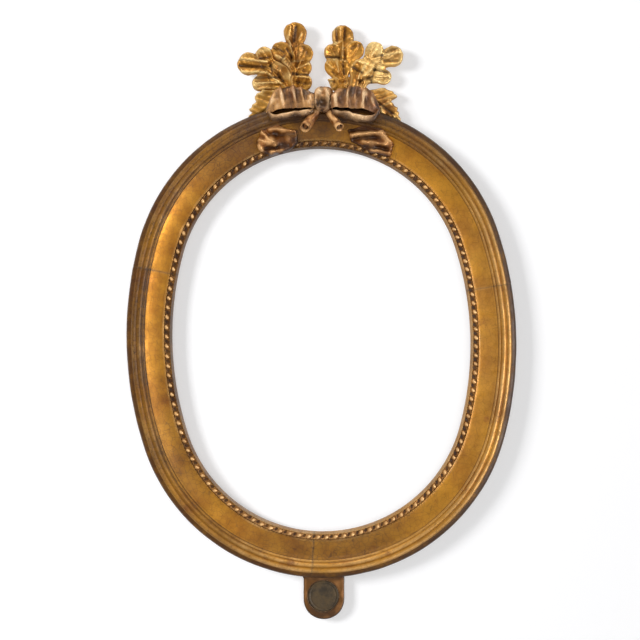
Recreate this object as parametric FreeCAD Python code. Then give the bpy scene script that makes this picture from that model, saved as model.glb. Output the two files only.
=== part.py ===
import FreeCAD, Part

import math
import os

# An oval picture frame in carved and gilded wood, in millimetres.
# Left and right are as seen from the front. +X is right, +Z is up, and the front faces -Y.
# Shapes are drawn about the middle of the oval on the wall, with x and z along the wall and a
# depth from the wall towards the viewer. At the end the origin moves to the hanging point.

# The oval is drawn with four arcs: two sides and two ends
outer_half_width = 175.6
outer_half_height = 213.9
end_radius_share = 0.963
oval_lean = 1.6

# Widths of the moulding's members, from the outer edge to the sight edge
outer_round_width = 4.05
reed_width = 4.95
quirk_width = 0.45
step_width = 3.6
frieze_width = 15.1
channel_width = 5.3
lip_width = 1.7

# Depths of the moulding's members from the wall
side_height = 16.0
outer_round_rise = 0.8
outer_round_top = 20.2
reed_groove = 21.6
inner_reed_foot = 22.2
reed_rise = 1.8
step_top = 21.2
step_foot = 18.8
frieze_foot = 15.6
frieze_hollow = 0.8
channel_floor = 13.4
lip_top = 15.4
round_facets = 2
reed_facets = 3
frieze_facets = 2

# The rebate that holds the picture
rebate_width = 6.5
rebate_depth = 8.0

# Butt joints of the four ring segments: at the top and bottom a distance from the long axis, to
# the right and to the left, and at the sides a share of half the side's arc, above its middle
top_joint_offset = 26.45
bottom_joint_offset = 15.03
right_joint_share = 0.4968
left_joint_share = 0.7634

# Loose tongues glued into both ends at each joint
tongue_length = 24.0
tongue_width = 17.0
tongue_thickness = 4.0
tongue_inset = 9.5
tongue_depth = 10.0

# The pearls, set in the channel from joint to joint
pearl_diameter = 5.0
pearl_height = 3.4
pearl_sides = 6
pearl_pitches = {"upper_right": 7.6, "upper_left": 8.4, "lower_left": 8.7, "lower_right": 7.9}

# The crest is laid out about the middle of its knot
crest_offset = 1.0
crest_half_width = 75.0
crest_height = 69.5
knot_rise = 3.1

# The boards behind the crest, which stand on the ring's outer edge
board_near = 5.0
board_far = 14.0
board_half_width = 49.0
board_rise = 8.5
board_shoulder_drop = 7.0

# The carved leaves
leaf_near = 7.0
leaf_thickness = 6.0
leaf_layer = 1.6
leaf_stalk_width = 6.5
lobe_sides = 14
vein_width = 1.6
vein_depth = 1.3

# The bow's two loops of pleated ribbon
loop_length_left = 43.0
loop_length_right = 44.0
loop_height = 27.0
loop_front_middle = 37.0
loop_front_end = 31.0
pleat_count = 5
pleat_rise = 2.4
ribbon_thickness = 2.4
mouth_rise = 15.0

# The band of ribbon that returns under each loop
band_near = 26.0
band_far = 34.0

# The knot
knot_width = 19.5
knot_tall = 24.0
knot_front = 40.0
knot_folds = 3
knot_waist = 1.6

# The cut stems of the two branches, below the knot
stem_root_radius = 3.1
stem_end_radius = 4.2
stem_bore_radius = 2.5
stem_bore_depth = 3.0
stem_length = 21.0
stem_angle_left = 234.0
stem_angle_right = 301.0
stem_root_offset = 4.6
stem_root_depth = 29.0
stem_end_depth = 26.0
stem_sides = 10

# The ribbon's tails, which lie over the frieze
tail_front = 22.6
fold_width = 5.0
fold_rise = 2.4

# Flat tenons that hold the crest's boards on the ring
tenon_spacing = 50.0
tenon_length = 16.0
tenon_width = 13.0
tenon_thickness = 3.5
tenon_depth = 6.0

# The round-ended tab and its disc
tab_offset = 1.7
tab_width = 34.7
tab_drop = 36.8
tab_thickness = 10.0
tab_lap_length = 17.0
tab_lap_width = 29.0
tab_lap_thickness = 5.0
disc_diameter = 28.2
disc_thickness = 2.2
disc_drop = 18.1
disc_sides = 28

# Square cut nails, whose heads stand on what they hold
nail_shank = 1.8
nail_head = 4.0
nail_head_thickness = 0.8
nail_length = 8.5
tab_nail_spacing = 14.0

# The hanging ring, its strap and the pocket they lie in
hanger_drop = 13.0
hanging_ring_radius = 7.5
hanging_ring_wire = 2.0
hanging_ring_sides = 20
knuckle_play = 0.3
strap_thickness = 1.2
strap_width = 11.0
strap_length = 16.0
knuckle_width = 4.0
hanger_pocket_depth = 6.8
hanger_pocket_margin = 1.5
strap_nail_inset = 3.5
strap_nail_spacing = 6.0

# The four turn buttons that hold a picture in the rebate
button_pivot_inset = 21.0
button_arm = 17.5
button_width = 9.0
button_clip = 1.6
button_thickness = 1.5
button_gap = 0.2
button_pocket_depth = 3.6
button_pocket_margin = 1.6
button_share = 0.1462
button_screw_diameter = 3.0
button_screw_head = 6.0
button_screw_head_height = 1.3
button_screw_length = 12.0
button_screw_sides = 16

# Clearances
glue_gap = 0.1
seat_gap = 0.15
turning_gap = 0.06
overrun = 1.0

# A pearl's section: shares of its half width and of its height
PEARL_SHARES = [(1.00, 0.00), (0.74, 0.62)]

# Crest outlines. x is a share of the crest's half width and z of its height, from the knot.
# Each lobe of a leaf is its x, z and radius, then the x and z where it leaves its leaf's rib.
LEFT_TALL_SHARES = [
    (-0.330, 0.845, 0.139, -0.318, 0.480),
    (-0.222, 0.589, 0.112, -0.312, 0.400),
    (-0.505, 0.625, 0.115, -0.330, 0.340),
    (-0.230, 0.415, 0.100, -0.318, 0.200),
    (-0.225, 0.225, 0.100, -0.330, 0.060),
]
LEFT_WIDE_SHARES = [
    (-0.865, 0.462, 0.133, -0.560, 0.320),
    (-0.700, 0.570, 0.102, -0.540, 0.330),
    (-0.700, 0.240, 0.108, -0.460, 0.190),
]
RIGHT_TALL_SHARES = [
    (0.246, 0.838, 0.132, 0.240, 0.520),
    (0.120, 0.612, 0.104, 0.240, 0.400),
    (0.385, 0.622, 0.104, 0.250, 0.380),
    (0.122, 0.425, 0.096, 0.235, 0.200),
]
RIGHT_WIDE_SHARES = [
    (0.838, 0.548, 0.126, 0.560, 0.400),
    (0.622, 0.612, 0.108, 0.520, 0.380),
    (0.703, 0.308, 0.106, 0.500, 0.200),
    (0.470, 0.380, 0.115, 0.440, 0.150),
]
LEFT_RIB_SHARES = [(-0.300, -0.050), (-0.320, 0.250), (-0.320, 0.600)]
LEFT_SIDE_RIB_SHARES = [(-0.330, -0.020), (-0.480, 0.220), (-0.620, 0.380)]
RIGHT_RIB_SHARES = [(0.260, -0.050), (0.245, 0.250), (0.245, 0.600)]
RIGHT_SIDE_RIB_SHARES = [(0.340, -0.020), (0.480, 0.220), (0.620, 0.420)]

# Pointed leaves, as closed outlines
LEFT_LOW_LEAF_SHARES = [
    (-0.480, 0.120),
    (-0.690, 0.095),
    (-0.795, 0.025),
    (-0.755, -0.035),
    (-0.850, -0.120),
    (-0.815, -0.160),
    (-0.915, -0.270),
    (-0.700, -0.330),
    (-0.500, -0.250),
]
RIGHT_POINT_LEAF_SHARES = [
    (0.060, 0.270),
    (0.130, 0.300),
    (0.330, 0.300),
    (0.345, 0.200),
    (0.200, 0.080),
    (0.110, 0.150),
]
RIGHT_LOW_LEAF_SHARES = [
    (0.520, 0.140),
    (0.760, 0.160),
    (0.860, 0.110),
    (0.905, 0.050),
    (0.830, -0.010),
    (0.905, -0.090),
    (0.950, -0.270),
    (0.700, -0.330),
    (0.500, -0.250),
]

# The elevation of a loop: x as a share of its length from the knot, z of its height
LOOP_SHARES = [
    (0.00, 0.35),
    (0.30, 0.47),
    (0.62, 0.50),
    (0.86, 0.25),
    (1.00, -0.12),
    (1.00, -0.42),
    (0.72, -0.30),
    (0.00, -0.33),
]
BAND_SHARES = [(0.00, -0.30), (0.35, -0.42), (0.66, -0.56), (0.90, -0.52), (1.00, -0.40)]

# The tails' outlines and the ends of the folds that stand on them, in the crest's shares
LEFT_TAIL_SHARES = [
    (-0.320, -0.400),
    (-0.560, -0.350),
    (-0.727, -0.403),
    (-0.770, -0.532),
    (-0.735, -0.662),
    (-0.607, -0.715),
    (-0.427, -0.670),
    (-0.300, -0.567),
]
LEFT_FOLD_SHARES = [((-0.340, -0.470), (-0.690, -0.440)), ((-0.520, -0.540), (-0.700, -0.620))]
RIGHT_TAIL_SHARES = [
    (0.317, -0.420),
    (0.500, -0.360),
    (0.720, -0.403),
    (0.850, -0.593),
    (0.790, -0.735),
    (0.593, -0.683),
    (0.353, -0.532),
]
RIGHT_FOLD_SHARES = [((0.360, -0.490), (0.700, -0.470)), ((0.560, -0.600), (0.780, -0.660))]

FRONT = FreeCAD.Vector(0, -1, 0)
UP = FreeCAD.Vector(0, 0, 1)
ACROSS = FreeCAD.Vector(1, 0, 0)

# Sizes that follow from the values above
outer_end_radius = end_radius_share * outer_half_width
end_centre = outer_half_height - outer_end_radius
side_radius = (
    outer_half_width**2 + outer_half_height**2 - 2 * outer_half_height * outer_end_radius
) / (2 * (outer_half_width - outer_end_radius))
side_centre = side_radius - outer_half_width
side_angle = math.degrees(math.atan2(end_centre, side_centre))
right_joint_angle = right_joint_share * side_angle
left_joint_angle = 180 - left_joint_share * side_angle
top_joint_angle = 90 - math.degrees(math.asin(top_joint_offset / outer_end_radius))
bottom_joint_angle = 270 - math.degrees(math.asin(bottom_joint_offset / outer_end_radius))
button_angle = side_angle + button_share * (180 - 2 * side_angle)
reeds_width = outer_round_width + 2 * reed_width
frieze_start = reeds_width + quirk_width + step_width
channel_start = frieze_start + frieze_width
moulding_width = channel_start + channel_width + lip_width
reed_top = inner_reed_foot + reed_rise
pearl_top = channel_floor + pearl_height
knot_height = outer_half_height + knot_rise
tab_end_radius = tab_width / 2
tab_end_centre = tab_end_radius - outer_half_height - tab_drop
disc_height = -outer_half_height - disc_drop
hanger_height = outer_half_height - hanger_drop
wire_half = hanging_ring_wire / 2
ring_bow = hanging_ring_radius - math.sqrt(hanging_ring_radius**2 - (knuckle_width / 2) ** 2)
knuckle_bore = wire_half * math.sqrt(2) + ring_bow + knuckle_play
knuckle_radius = knuckle_bore + strap_thickness
hinge_depth = hanger_pocket_depth - knuckle_radius
loop_near = leaf_near + leaf_thickness + leaf_layer + seat_gap
screw_start = button_pocket_depth - 2 * button_gap - button_thickness - button_screw_head_height
screw_end = screw_start + button_screw_length

# The oval's four arcs: centre x, centre z, outer radius, first and last angle
ARCS = {
    "right": (-side_centre, 0, side_radius, -side_angle, side_angle),
    "top": (0, end_centre, outer_end_radius, side_angle, 180 - side_angle),
    "left": (side_centre, 0, side_radius, 180 - side_angle, 180 + side_angle),
    "bottom": (0, -end_centre, outer_end_radius, 180 + side_angle, 360 - side_angle),
}

# The joints, and the stretches of arc between them that the ring segments cover
JOINTS = [
    ("right", right_joint_angle),
    ("top", top_joint_angle),
    ("left", left_joint_angle),
    ("bottom", bottom_joint_angle),
]
SEGMENTS = {
    "upper_right": [
        ("right", right_joint_angle, side_angle),
        ("top", side_angle, top_joint_angle),
    ],
    "upper_left": [
        ("top", top_joint_angle, 180 - side_angle),
        ("left", 180 - side_angle, left_joint_angle),
    ],
    "lower_left": [
        ("left", left_joint_angle, 180 + side_angle),
        ("bottom", 180 + side_angle, bottom_joint_angle),
    ],
    "lower_right": [
        ("bottom", bottom_joint_angle, 360 - side_angle),
        ("right", -side_angle, right_joint_angle),
    ],
}

# Each turn button: the arc and angle of its pivot, and which way round its arm points at rest
BUTTONS = {
    "upper_right": ("top", button_angle, 1),
    "upper_left": ("top", 180 - button_angle, -1),
    "lower_left": ("bottom", 180 + button_angle, 1),
    "lower_right": ("bottom", 360 - button_angle, -1),
}


def at(x, z, depth):
    """The point x to the right, z up and a depth in front of the wall."""
    return FreeCAD.Vector(x, -depth, z)


def join(shapes):
    """The shapes fused to one, with no seams left between flush faces."""
    return shapes[0].multiFuse(shapes[1:]).removeSplitter()


def prism(points, near, far):
    """An outline of (x, z) points, from one depth to another."""
    corners = [at(x, z, near) for x, z in points]
    return Part.Face(Part.makePolygon(corners + corners[:1])).extrude((far - near) * FRONT)


def polygon(x, z, radius, sides, start=0):
    """The corners of a regular polygon, where a true circle would take too many facets."""
    turns = [math.radians(start) + 2 * math.pi * side / sides for side in range(sides)]
    return [(x + radius * math.cos(turn), z + radius * math.sin(turn)) for turn in turns]


def peg(x, z, radius, near, far):
    """A many-sided peg along the depth."""
    return prism(polygon(x, z, radius, button_screw_sides), near, far)


def peg_hole(x, z, radius, near, far):
    """A many-sided hole along the depth, whose flats clear a round peg of a radius."""
    return peg(x, z, radius / math.cos(math.pi / button_screw_sides), near, far)


def faceted(rings):
    """A solid of flat faces between rings of points, the last of which may be a tip."""
    rings = [ring + ring[:1] for ring in rings]
    faces = [Part.Face(Part.makePolygon(rings[0]))]
    for low, high in zip(rings, rings[1:]):
        if len(high) == 2:
            high = high[:1] * len(low)
        for a, b, c, d in zip(low, low[1:], high[1:], high):
            corners = [a, b, d, a] if c.isEqual(d, 0) else [a, b, c, d, a]
            faces.append(Part.Face(Part.makePolygon(corners)))
    if len(rings[-1]) > 2:
        faces.append(Part.Face(Part.makePolygon(rings[-1])))
    return Part.Solid(Part.Shell(faces))


def block(x_low, x_high, z_low, z_high, near, far):
    """A box between two places on the wall and two depths."""
    return Part.makeBox(x_high - x_low, far - near, z_high - z_low, at(x_low, z_low, far))


def lean(shape):
    """The shape turned with the oval's long axis, whose top leans to the left."""
    shape.rotate(at(0, 0, 0), FRONT, oval_lean)
    return shape


def on_arc(shape, arc, angle):
    """A shape drawn at the arc's rightmost point, carried round the arc to an angle."""
    shape.rotate(at(*ARCS[arc][:2], 0), FRONT, angle)
    return shape


def swept(section, arc, first, last):
    """A section of (inset, depth) points, swept along a stretch of arc."""
    x, z, radius = ARCS[arc][:3]
    corners = [at(x + radius - inset, z, depth) for inset, depth in section]
    face = on_arc(Part.Face(Part.makePolygon(corners + corners[:1])), arc, first)
    return face.revolve(at(x, z, 0), FRONT, last - first)


def round_over(start, end, rise, facets):
    """The points between two points of a section that lie on an arc bulged by a rise."""
    chord = math.dist(start, end)
    radius = (chord**2 / 4 + rise**2) / (2 * abs(rise))
    half_turn = math.asin(min(1, chord / 2 / radius))
    along = ((end[0] - start[0]) / chord, (end[1] - start[1]) / chord)
    side = math.copysign(1, rise)
    points = []
    for facet in range(1, facets):
        turn = half_turn * (2 * facet / facets - 1)
        forth = chord / 2 + radius * math.sin(turn)
        out = side * radius * (math.cos(turn) - math.cos(half_turn))
        inset = start[0] + along[0] * forth - along[1] * out
        depth = start[1] + along[1] * forth + along[0] * out
        points.append((inset, depth))
    return points


def nail(x, z, head_depth):
    """A square cut nail, with the underside of its head at a depth."""
    shank = block(
        x - nail_shank / 2,
        x + nail_shank / 2,
        z - nail_shank / 2,
        z + nail_shank / 2,
        head_depth - nail_head_thickness / 2,
        head_depth + nail_length,
    )
    head = block(
        x - nail_head / 2,
        x + nail_head / 2,
        z - nail_head / 2,
        z + nail_head / 2,
        head_depth - nail_head_thickness,
        head_depth,
    )
    return join([shank, head])


def nail_hole(x, z, near):
    """The square hole that a nail's shank fills."""
    reach = nail_shank / 2 + turning_gap
    return block(x - reach, x + reach, z - reach, z + reach, near - overrun, near + nail_length)


# The ring


def moulding():
    """The moulding's section, as (inset, depth) points from the back of the outer edge."""
    step_start = reeds_width + quirk_width
    lip_start = channel_start + channel_width
    rebate_start = moulding_width - rebate_width
    points = [(0, 0), (0, side_height)]
    reed = (outer_round_width, outer_round_top)
    groove = (outer_round_width + reed_width, reed_groove)
    foot = (reeds_width, inner_reed_foot)
    points += round_over(points[-1], reed, outer_round_rise, round_facets) + [reed]
    points += round_over(reed, groove, reed_rise, reed_facets) + [groove]
    points += round_over(groove, foot, reed_rise, reed_facets) + [foot]
    step = (step_start, step_top)
    foot = (frieze_start, step_foot)
    points += [step, foot]
    edge = (channel_start, frieze_foot)
    points += round_over(foot, edge, -frieze_hollow, frieze_facets) + [edge]
    points += [(channel_start, channel_floor), (lip_start, channel_floor), (lip_start, lip_top)]
    points += [(moulding_width, rebate_depth), (rebate_start, rebate_depth), (rebate_start, 0)]
    return points


def tongue(arc, angle, gap=0):
    """The loose tongue at a joint, or with a gap the slot that it lies in."""
    x, z, radius = ARCS[arc][:3]
    edge = x + radius - tongue_inset
    body = block(
        edge - tongue_width - gap,
        edge + gap,
        z - tongue_length / 2 - gap,
        z + tongue_length / 2 + gap,
        tongue_depth - gap,
        tongue_depth + tongue_thickness + gap,
    )
    return lean(on_arc(body, arc, angle))


def crest_tenon(side, gap=0):
    """A flat tenon between the ring's outer edge and a crest board, or its mortise."""
    x = crest_offset + side * tenon_spacing / 2
    z = end_centre + math.sqrt(outer_end_radius**2 - x**2)
    return block(
        x - tenon_width / 2 - gap,
        x + tenon_width / 2 + gap,
        z - tenon_length / 2 - gap,
        z + tenon_length / 2 + gap,
        tenon_depth - gap,
        tenon_depth + tenon_thickness + gap,
    )


def ring_segment(name):
    """One of the four curved lengths of moulding, with all that is let into it."""
    body = join([swept(moulding(), arc, first, last) for arc, first, last in SEGMENTS[name]])
    cuts = [tongue(arc, angle, glue_gap) for arc, angle in JOINTS]
    cuts += [button_pocket(name), button_screw_hole(name)]
    cuts += [hanger_pocket(), tab_lap(glue_gap)]
    cuts += [nail_hole(x, z, near) for x, z, near in strap_nails() + tab_nails()]
    cuts += [crest_tenon(side, glue_gap) for side in (-1, 1)]
    return lean(body).cut(cuts)


def pearl(x, z):
    """One pearl, a faceted dome that stands on the channel's floor."""
    rings = []
    for width_share, height_share in PEARL_SHARES:
        corners = polygon(x, z, width_share * pearl_diameter / 2, pearl_sides)
        rings.append([at(*corner, channel_floor + height_share * pearl_height) for corner in corners])
    return faceted(rings + [[at(x, z, pearl_top)]])


def pearls(name):
    """The pearls of one segment, evenly spaced from joint to joint."""
    inset = channel_start + channel_width / 2
    stretches = []
    for arc, first, last in SEGMENTS[name]:
        reach = ARCS[arc][2] - inset
        stretches.append((arc, first, reach, math.radians(last - first) * reach))
    whole = sum(stretch[3] for stretch in stretches)
    count = round(whole / pearl_pitches[name])
    row = []
    for index in range(count):
        along = (index + 0.5) * whole / count
        arc, first, reach, length = stretches[0]
        if along > length:
            along -= length
            arc, first, reach, length = stretches[1]
        x, z = ARCS[arc][:2]
        row.append(lean(on_arc(pearl(x + reach, z), arc, first + math.degrees(along / reach))))
    return Part.makeCompound(row)


# The crest


def crest_point(x_share, z_share):
    """A place on the crest, from shares of its half width and height."""
    return crest_offset + x_share * crest_half_width, knot_height + z_share * crest_height


def saddle():
    """What the ring's top takes out of the crest's pieces, so that they sit over it."""
    section = [
        (-seat_gap, -overrun),
        (-seat_gap, side_height + outer_round_rise + seat_gap),
        (outer_round_width, outer_round_top + reed_rise + seat_gap),
        (outer_round_width + reed_width, reed_top + seat_gap),
        (reeds_width, reed_top + seat_gap),
        (frieze_start, step_foot + seat_gap),
        (channel_start, frieze_foot + seat_gap),
        (channel_start, pearl_top + seat_gap),
        (moulding_width + seat_gap, pearl_top + seat_gap),
        (moulding_width + seat_gap, -overrun),
    ]
    return lean(swept(section, "top", side_angle, 180 - side_angle))


def web(start, end, start_width, end_width, near, far):
    """A straight strip of leaf between two places, with a width at each."""
    run = math.dist(start, end)
    across = (-(end[1] - start[1]) / run / 2, (end[0] - start[0]) / run / 2)
    points = []
    for (x, z), width, side in (
        (start, start_width, 1),
        (end, end_width, 1),
        (end, end_width, -1),
        (start, start_width, -1),
    ):
        points.append((x + side * across[0] * width, z + side * across[1] * width))
    return prism(points, near, far)


def vein(start, end, far):
    """A V-shaped groove in a leaf's face, between two places."""
    run = math.dist(start, end)
    aside = FreeCAD.Vector(-(end[1] - start[1]) / run, 0, (end[0] - start[0]) / run)
    foot = at(start[0], start[1], far - vein_depth)
    rim = foot + 2 * vein_depth * FRONT
    corners = [foot, rim + vein_width * aside, rim - vein_width * aside, foot]
    along = at(end[0] - start[0], end[1] - start[1], 0)
    return Part.Face(Part.makePolygon(corners)).extrude(along)


def oak_leaf(lobe_shares, rib_shares, near):
    """A leaf of round lobes on a rib, and the grooves of its veins."""
    far = near + leaf_thickness
    ribs = [crest_point(x, z) for x, z in rib_shares]
    solids = []
    grooves = []
    for start, end in zip(ribs, ribs[1:]):
        solids.append(web(start, end, leaf_stalk_width, leaf_stalk_width, near, far))
        grooves.append(vein(start, end, far))
    for x_share, z_share, radius_share, root_x, root_z in lobe_shares:
        centre = crest_point(x_share, z_share)
        root = crest_point(root_x, root_z)
        radius = radius_share * crest_half_width
        solids.append(prism(polygon(*centre, radius, lobe_sides), near, far))
        solids.append(web(root, centre, leaf_stalk_width, 1.7 * radius, near, far))
        grooves.append(vein(root, centre, far))
    return solids, grooves


def crest_board(side):
    """The half of the backing board that one spray is carved from."""
    inner = crest_offset + side * glue_gap
    outer = crest_offset + side * board_half_width
    top = knot_height + board_rise
    low = outer_half_height - moulding_width / 2
    shoulder = top - board_shoulder_drop
    return prism([(inner, low), (inner, top), (outer, shoulder), (outer, low)], board_near, board_far)


def oak_spray(side, leaves, pointed_leaves, seat):
    """One spray of leaves, carved with the board that stands on the ring."""
    solids = [crest_board(side)]
    grooves = []
    for layer, (lobe_shares, rib_shares) in enumerate(leaves):
        new_solids, new_grooves = oak_leaf(lobe_shares, rib_shares, leaf_near + layer * leaf_layer)
        solids += new_solids
        grooves += new_grooves
    for leaf_shares in pointed_leaves:
        points = [crest_point(x, z) for x, z in leaf_shares]
        solids.append(prism(points, leaf_near, leaf_near + leaf_thickness))
    cuts = grooves + [seat, crest_tenon(side, glue_gap)]
    return join(solids).cut(cuts).removeSplitter()


def pleated(x_start, x_end, front_start, front_end, near, count, z_low, z_high):
    """A block whose front is pleated, between two places along x."""
    pitch = (x_end - x_start) / count
    points = [(x_start, near), (x_start, front_start - pleat_rise)]
    for index in range(count):
        base = front_start + (front_end - front_start) * (index + 0.5) / count
        left = x_start + index * pitch
        points += [(left + pitch * 0.3, base), (left + pitch * 0.7, base)]
        points.append((left + pitch, base - pleat_rise))
    points.append((x_end, near))
    corners = [at(x, z_low, depth) for x, depth in points]
    return Part.Face(Part.makePolygon(corners + corners[:1])).extrude((z_high - z_low) * UP)


def bow_loop(side, length, seat):
    """A hollow loop of pleated ribbon, with the band that returns under it."""
    root = crest_offset + side * (knot_width / 2 - pleat_rise)

    def place(x_share, z_share):
        return root + side * x_share * length, knot_height + z_share * loop_height

    tip = root + side * length
    body = pleated(
        root,
        tip,
        loop_front_middle,
        loop_front_end,
        loop_near,
        pleat_count,
        knot_height - loop_height,
        knot_height + loop_height,
    )
    shape = prism([place(x, z) for x, z in LOOP_SHARES], loop_near, loop_front_middle + overrun)
    body = body.common(shape)
    hollow = pleated(
        root + side * ribbon_thickness,
        tip - side * ribbon_thickness,
        loop_front_middle - ribbon_thickness,
        loop_front_end - ribbon_thickness,
        band_near,
        pleat_count,
        knot_height - loop_height,
        knot_height - loop_height / 2 + mouth_rise,
    )
    upper = [place(x, z) for x, z in BAND_SHARES]
    lower = [(x, z - ribbon_thickness) for x, z in reversed(upper)]
    band = prism(upper + lower, band_near, band_far)
    return join([body.cut(hollow), band]).cut([seat, knot_room()]).removeSplitter()


def knot_body(gap=0):
    """The knot's pleated block, or with a gap the room that it needs."""
    wide = knot_width / 2 + gap
    body = pleated(
        crest_offset - wide,
        crest_offset + wide,
        knot_front,
        knot_front,
        loop_near - gap,
        knot_folds,
        knot_height - knot_tall / 2 - gap,
        knot_height + knot_tall / 2 + gap,
    )
    return body


def knot_room():
    return knot_body(seat_gap)


def bow_knot(seat):
    """The knot, drawn in at its waist and rounded over at its ends."""
    tall = knot_tall / 2
    wide = knot_width / 2
    narrow = wide - knot_waist
    points = []
    for side_x, side_z in ((-1, 1), (1, 1), (1, -1), (-1, -1)):
        outer = (crest_offset + side_x * narrow, knot_height + side_z * tall)
        shoulder = (crest_offset + side_x * wide, knot_height + side_z * (tall - knot_waist))
        points += [shoulder, outer] if side_x * side_z < 0 else [outer, shoulder]
    return knot_body().common(prism(points, loop_near, knot_front + overrun)).cut(seat)


def rod(start, end, start_radius, end_radius):
    """A straight many-sided rod, with a radius at each end."""
    direction = (end - start).normalize()
    aside = direction.cross(FRONT).normalize()
    other = direction.cross(aside)
    rings = []
    for centre, radius in ((start, start_radius), (end, end_radius)):
        corners = polygon(0, 0, radius, stem_sides)
        rings.append([centre + first * aside + second * other for first, second in corners])
    return faceted(rings)


def branch_stem(side, angle, seat):
    """A cut stem below the knot, pared with a knife and hollow at its end."""
    turn = math.radians(angle)
    x = crest_offset + side * stem_root_offset
    z = knot_height - knot_tall / 2
    start = at(x, z, stem_root_depth)
    end = at(x + stem_length * math.cos(turn), z + stem_length * math.sin(turn), stem_end_depth)
    direction = (end - start).normalize()
    body = rod(start - stem_root_radius * direction, end, stem_root_radius, stem_end_radius)
    bottom = end - stem_bore_depth * direction
    bore = rod(bottom, end + overrun * direction, stem_bore_radius, stem_bore_radius)
    return body.cut([bore, knot_room(), seat])


def ribbon_tail(tail_shares, fold_shares, seat):
    """A crumpled tail of ribbon over the frieze, with two folds standing up."""
    body = prism([crest_point(x, z) for x, z in tail_shares], channel_floor, tail_front)
    top = tail_front + fold_rise
    folds = []
    for start, end in fold_shares:
        places = [crest_point(*start), crest_point(*end)]
        folds.append(web(*places, fold_width, fold_width, tail_front, top))
    return join([body] + folds).cut(seat)


# The tab


def tab_lap(gap=0):
    """The tongue of the tab that is let into the ring's back, or with a gap its housing."""
    return block(
        tab_offset - tab_lap_width / 2 - gap,
        tab_offset + tab_lap_width / 2 + gap,
        tab_end_centre,
        tab_lap_length - outer_half_height + gap,
        -overrun if gap else 0,
        tab_lap_thickness + gap,
    )


def tab_nails():
    """Where the tab's nails stand: x, z and the depth under their heads."""
    height = tab_lap_length / 2 - outer_half_height
    sides = [-tab_nail_spacing / 2, tab_nail_spacing / 2]
    return [(tab_offset + side, height, nail_head_thickness) for side in sides]


def tab():
    """The round-ended tab under the ring, with its lap and the recess for its disc."""
    x, z, radius = ARCS["bottom"][:3]
    plate = block(
        tab_offset - tab_end_radius,
        tab_offset + tab_end_radius,
        tab_end_centre,
        tab_lap_length - outer_half_height,
        0,
        tab_thickness,
    )
    end = prism(polygon(tab_offset, tab_end_centre, tab_end_radius, disc_sides), 0, tab_thickness)
    under_ring = Part.makeCylinder(radius + seat_gap, side_height, at(x, z, -overrun), FRONT)
    body = join([join([plate, end]).cut(lean(under_ring)), tab_lap()])
    edge = polygon(tab_offset, disc_height, disc_diameter / 2 + glue_gap, disc_sides)
    cuts = [prism(edge, tab_thickness - disc_thickness, tab_thickness + overrun)]
    for x, z, near in tab_nails():
        reach = nail_head / 2 + turning_gap
        cuts.append(block(x - reach, x + reach, z - reach, z + reach, -overrun, near))
        cuts.append(nail_hole(x, z, near))
    return body.cut(cuts)


def tab_disc():
    edge = polygon(tab_offset, disc_height, disc_diameter / 2, disc_sides)
    return prism(edge, tab_thickness - disc_thickness, tab_thickness)


# The hanging ring and its strap


def hanger_pocket():
    """The slot let into the back for the hanging ring, open at the top."""
    reach = hanging_ring_radius + wire_half + hanger_pocket_margin
    return block(
        crest_offset - reach,
        crest_offset + reach,
        hanger_height - strap_length - hanger_pocket_margin,
        outer_half_height + overrun,
        -overrun,
        hanger_pocket_depth,
    )


def strap_nails():
    """Where the strap's nails stand: x, z and the depth under their heads."""
    low = hanger_height - strap_length + strap_nail_inset
    near = hanger_pocket_depth - strap_thickness
    return [(crest_offset, height, near) for height in (low, low + strap_nail_spacing)]


def knuckle(radius, half_width):
    """A rod along the ring's hinge, of a radius and half a width."""
    start = at(crest_offset - half_width, hanger_height, hinge_depth)
    return Part.makeCylinder(radius, 2 * half_width, start, ACROSS)


def hanger_strap():
    """The iron strap, rolled over at its top to hold the ring."""
    near = hanger_pocket_depth - strap_thickness
    left = crest_offset - strap_width / 2
    right = crest_offset + strap_width / 2
    plate = block(left, right, hanger_height - strap_length, hanger_height, near, hanger_pocket_depth)
    half = knuckle_width / 2
    roll = knuckle(knuckle_radius, half)
    cuts = [knuckle(knuckle_bore, half + overrun)]
    low = hanger_height - knuckle_radius - wire_half
    for x_low, x_high in ((left, crest_offset - half), (crest_offset + half, right)):
        cuts.append(block(x_low, x_high, low, hanger_height, near, hanger_pocket_depth))
    cuts += [nail_hole(x, z, near) for x, z, near in strap_nails()]
    return join([plate, roll]).cut(cuts)


def hanging_ring():
    """The square-wire ring, hanging down from the strap's knuckle."""
    height = hanger_height - hanging_ring_radius
    near = hinge_depth - wire_half
    flat_top = 180 / hanging_ring_sides
    plates = []
    for radius in (hanging_ring_radius + wire_half, hanging_ring_radius - wire_half):
        corners = polygon(crest_offset, height, radius, hanging_ring_sides, flat_top)
        plates.append(prism(corners, near, near + hanging_ring_wire))
    return plates[0].cut(plates[1])


# The turn buttons


def button_place(name):
    """The place of a turn button's pivot on its arc before it is carried round."""
    x, z, radius = ARCS[BUTTONS[name][0]][:3]
    return x + radius - button_pivot_inset, z


def set_button(name, shape):
    arc, angle = BUTTONS[name][:2]
    return lean(on_arc(shape, arc, angle))


def button_pocket(name):
    """The square pocket, open to the rebate, in which a turn button swings."""
    x, z = button_place(name)
    side = BUTTONS[name][2]
    outer = x + button_width / 2 + button_pocket_margin
    inner = x + button_pivot_inset - moulding_width
    ends = [z - side * (button_width / 2 + button_pocket_margin)]
    ends.append(z + side * (button_arm + button_pocket_margin))
    return set_button(name, block(inner, outer, min(ends), max(ends), -overrun, button_pocket_depth))


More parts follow.
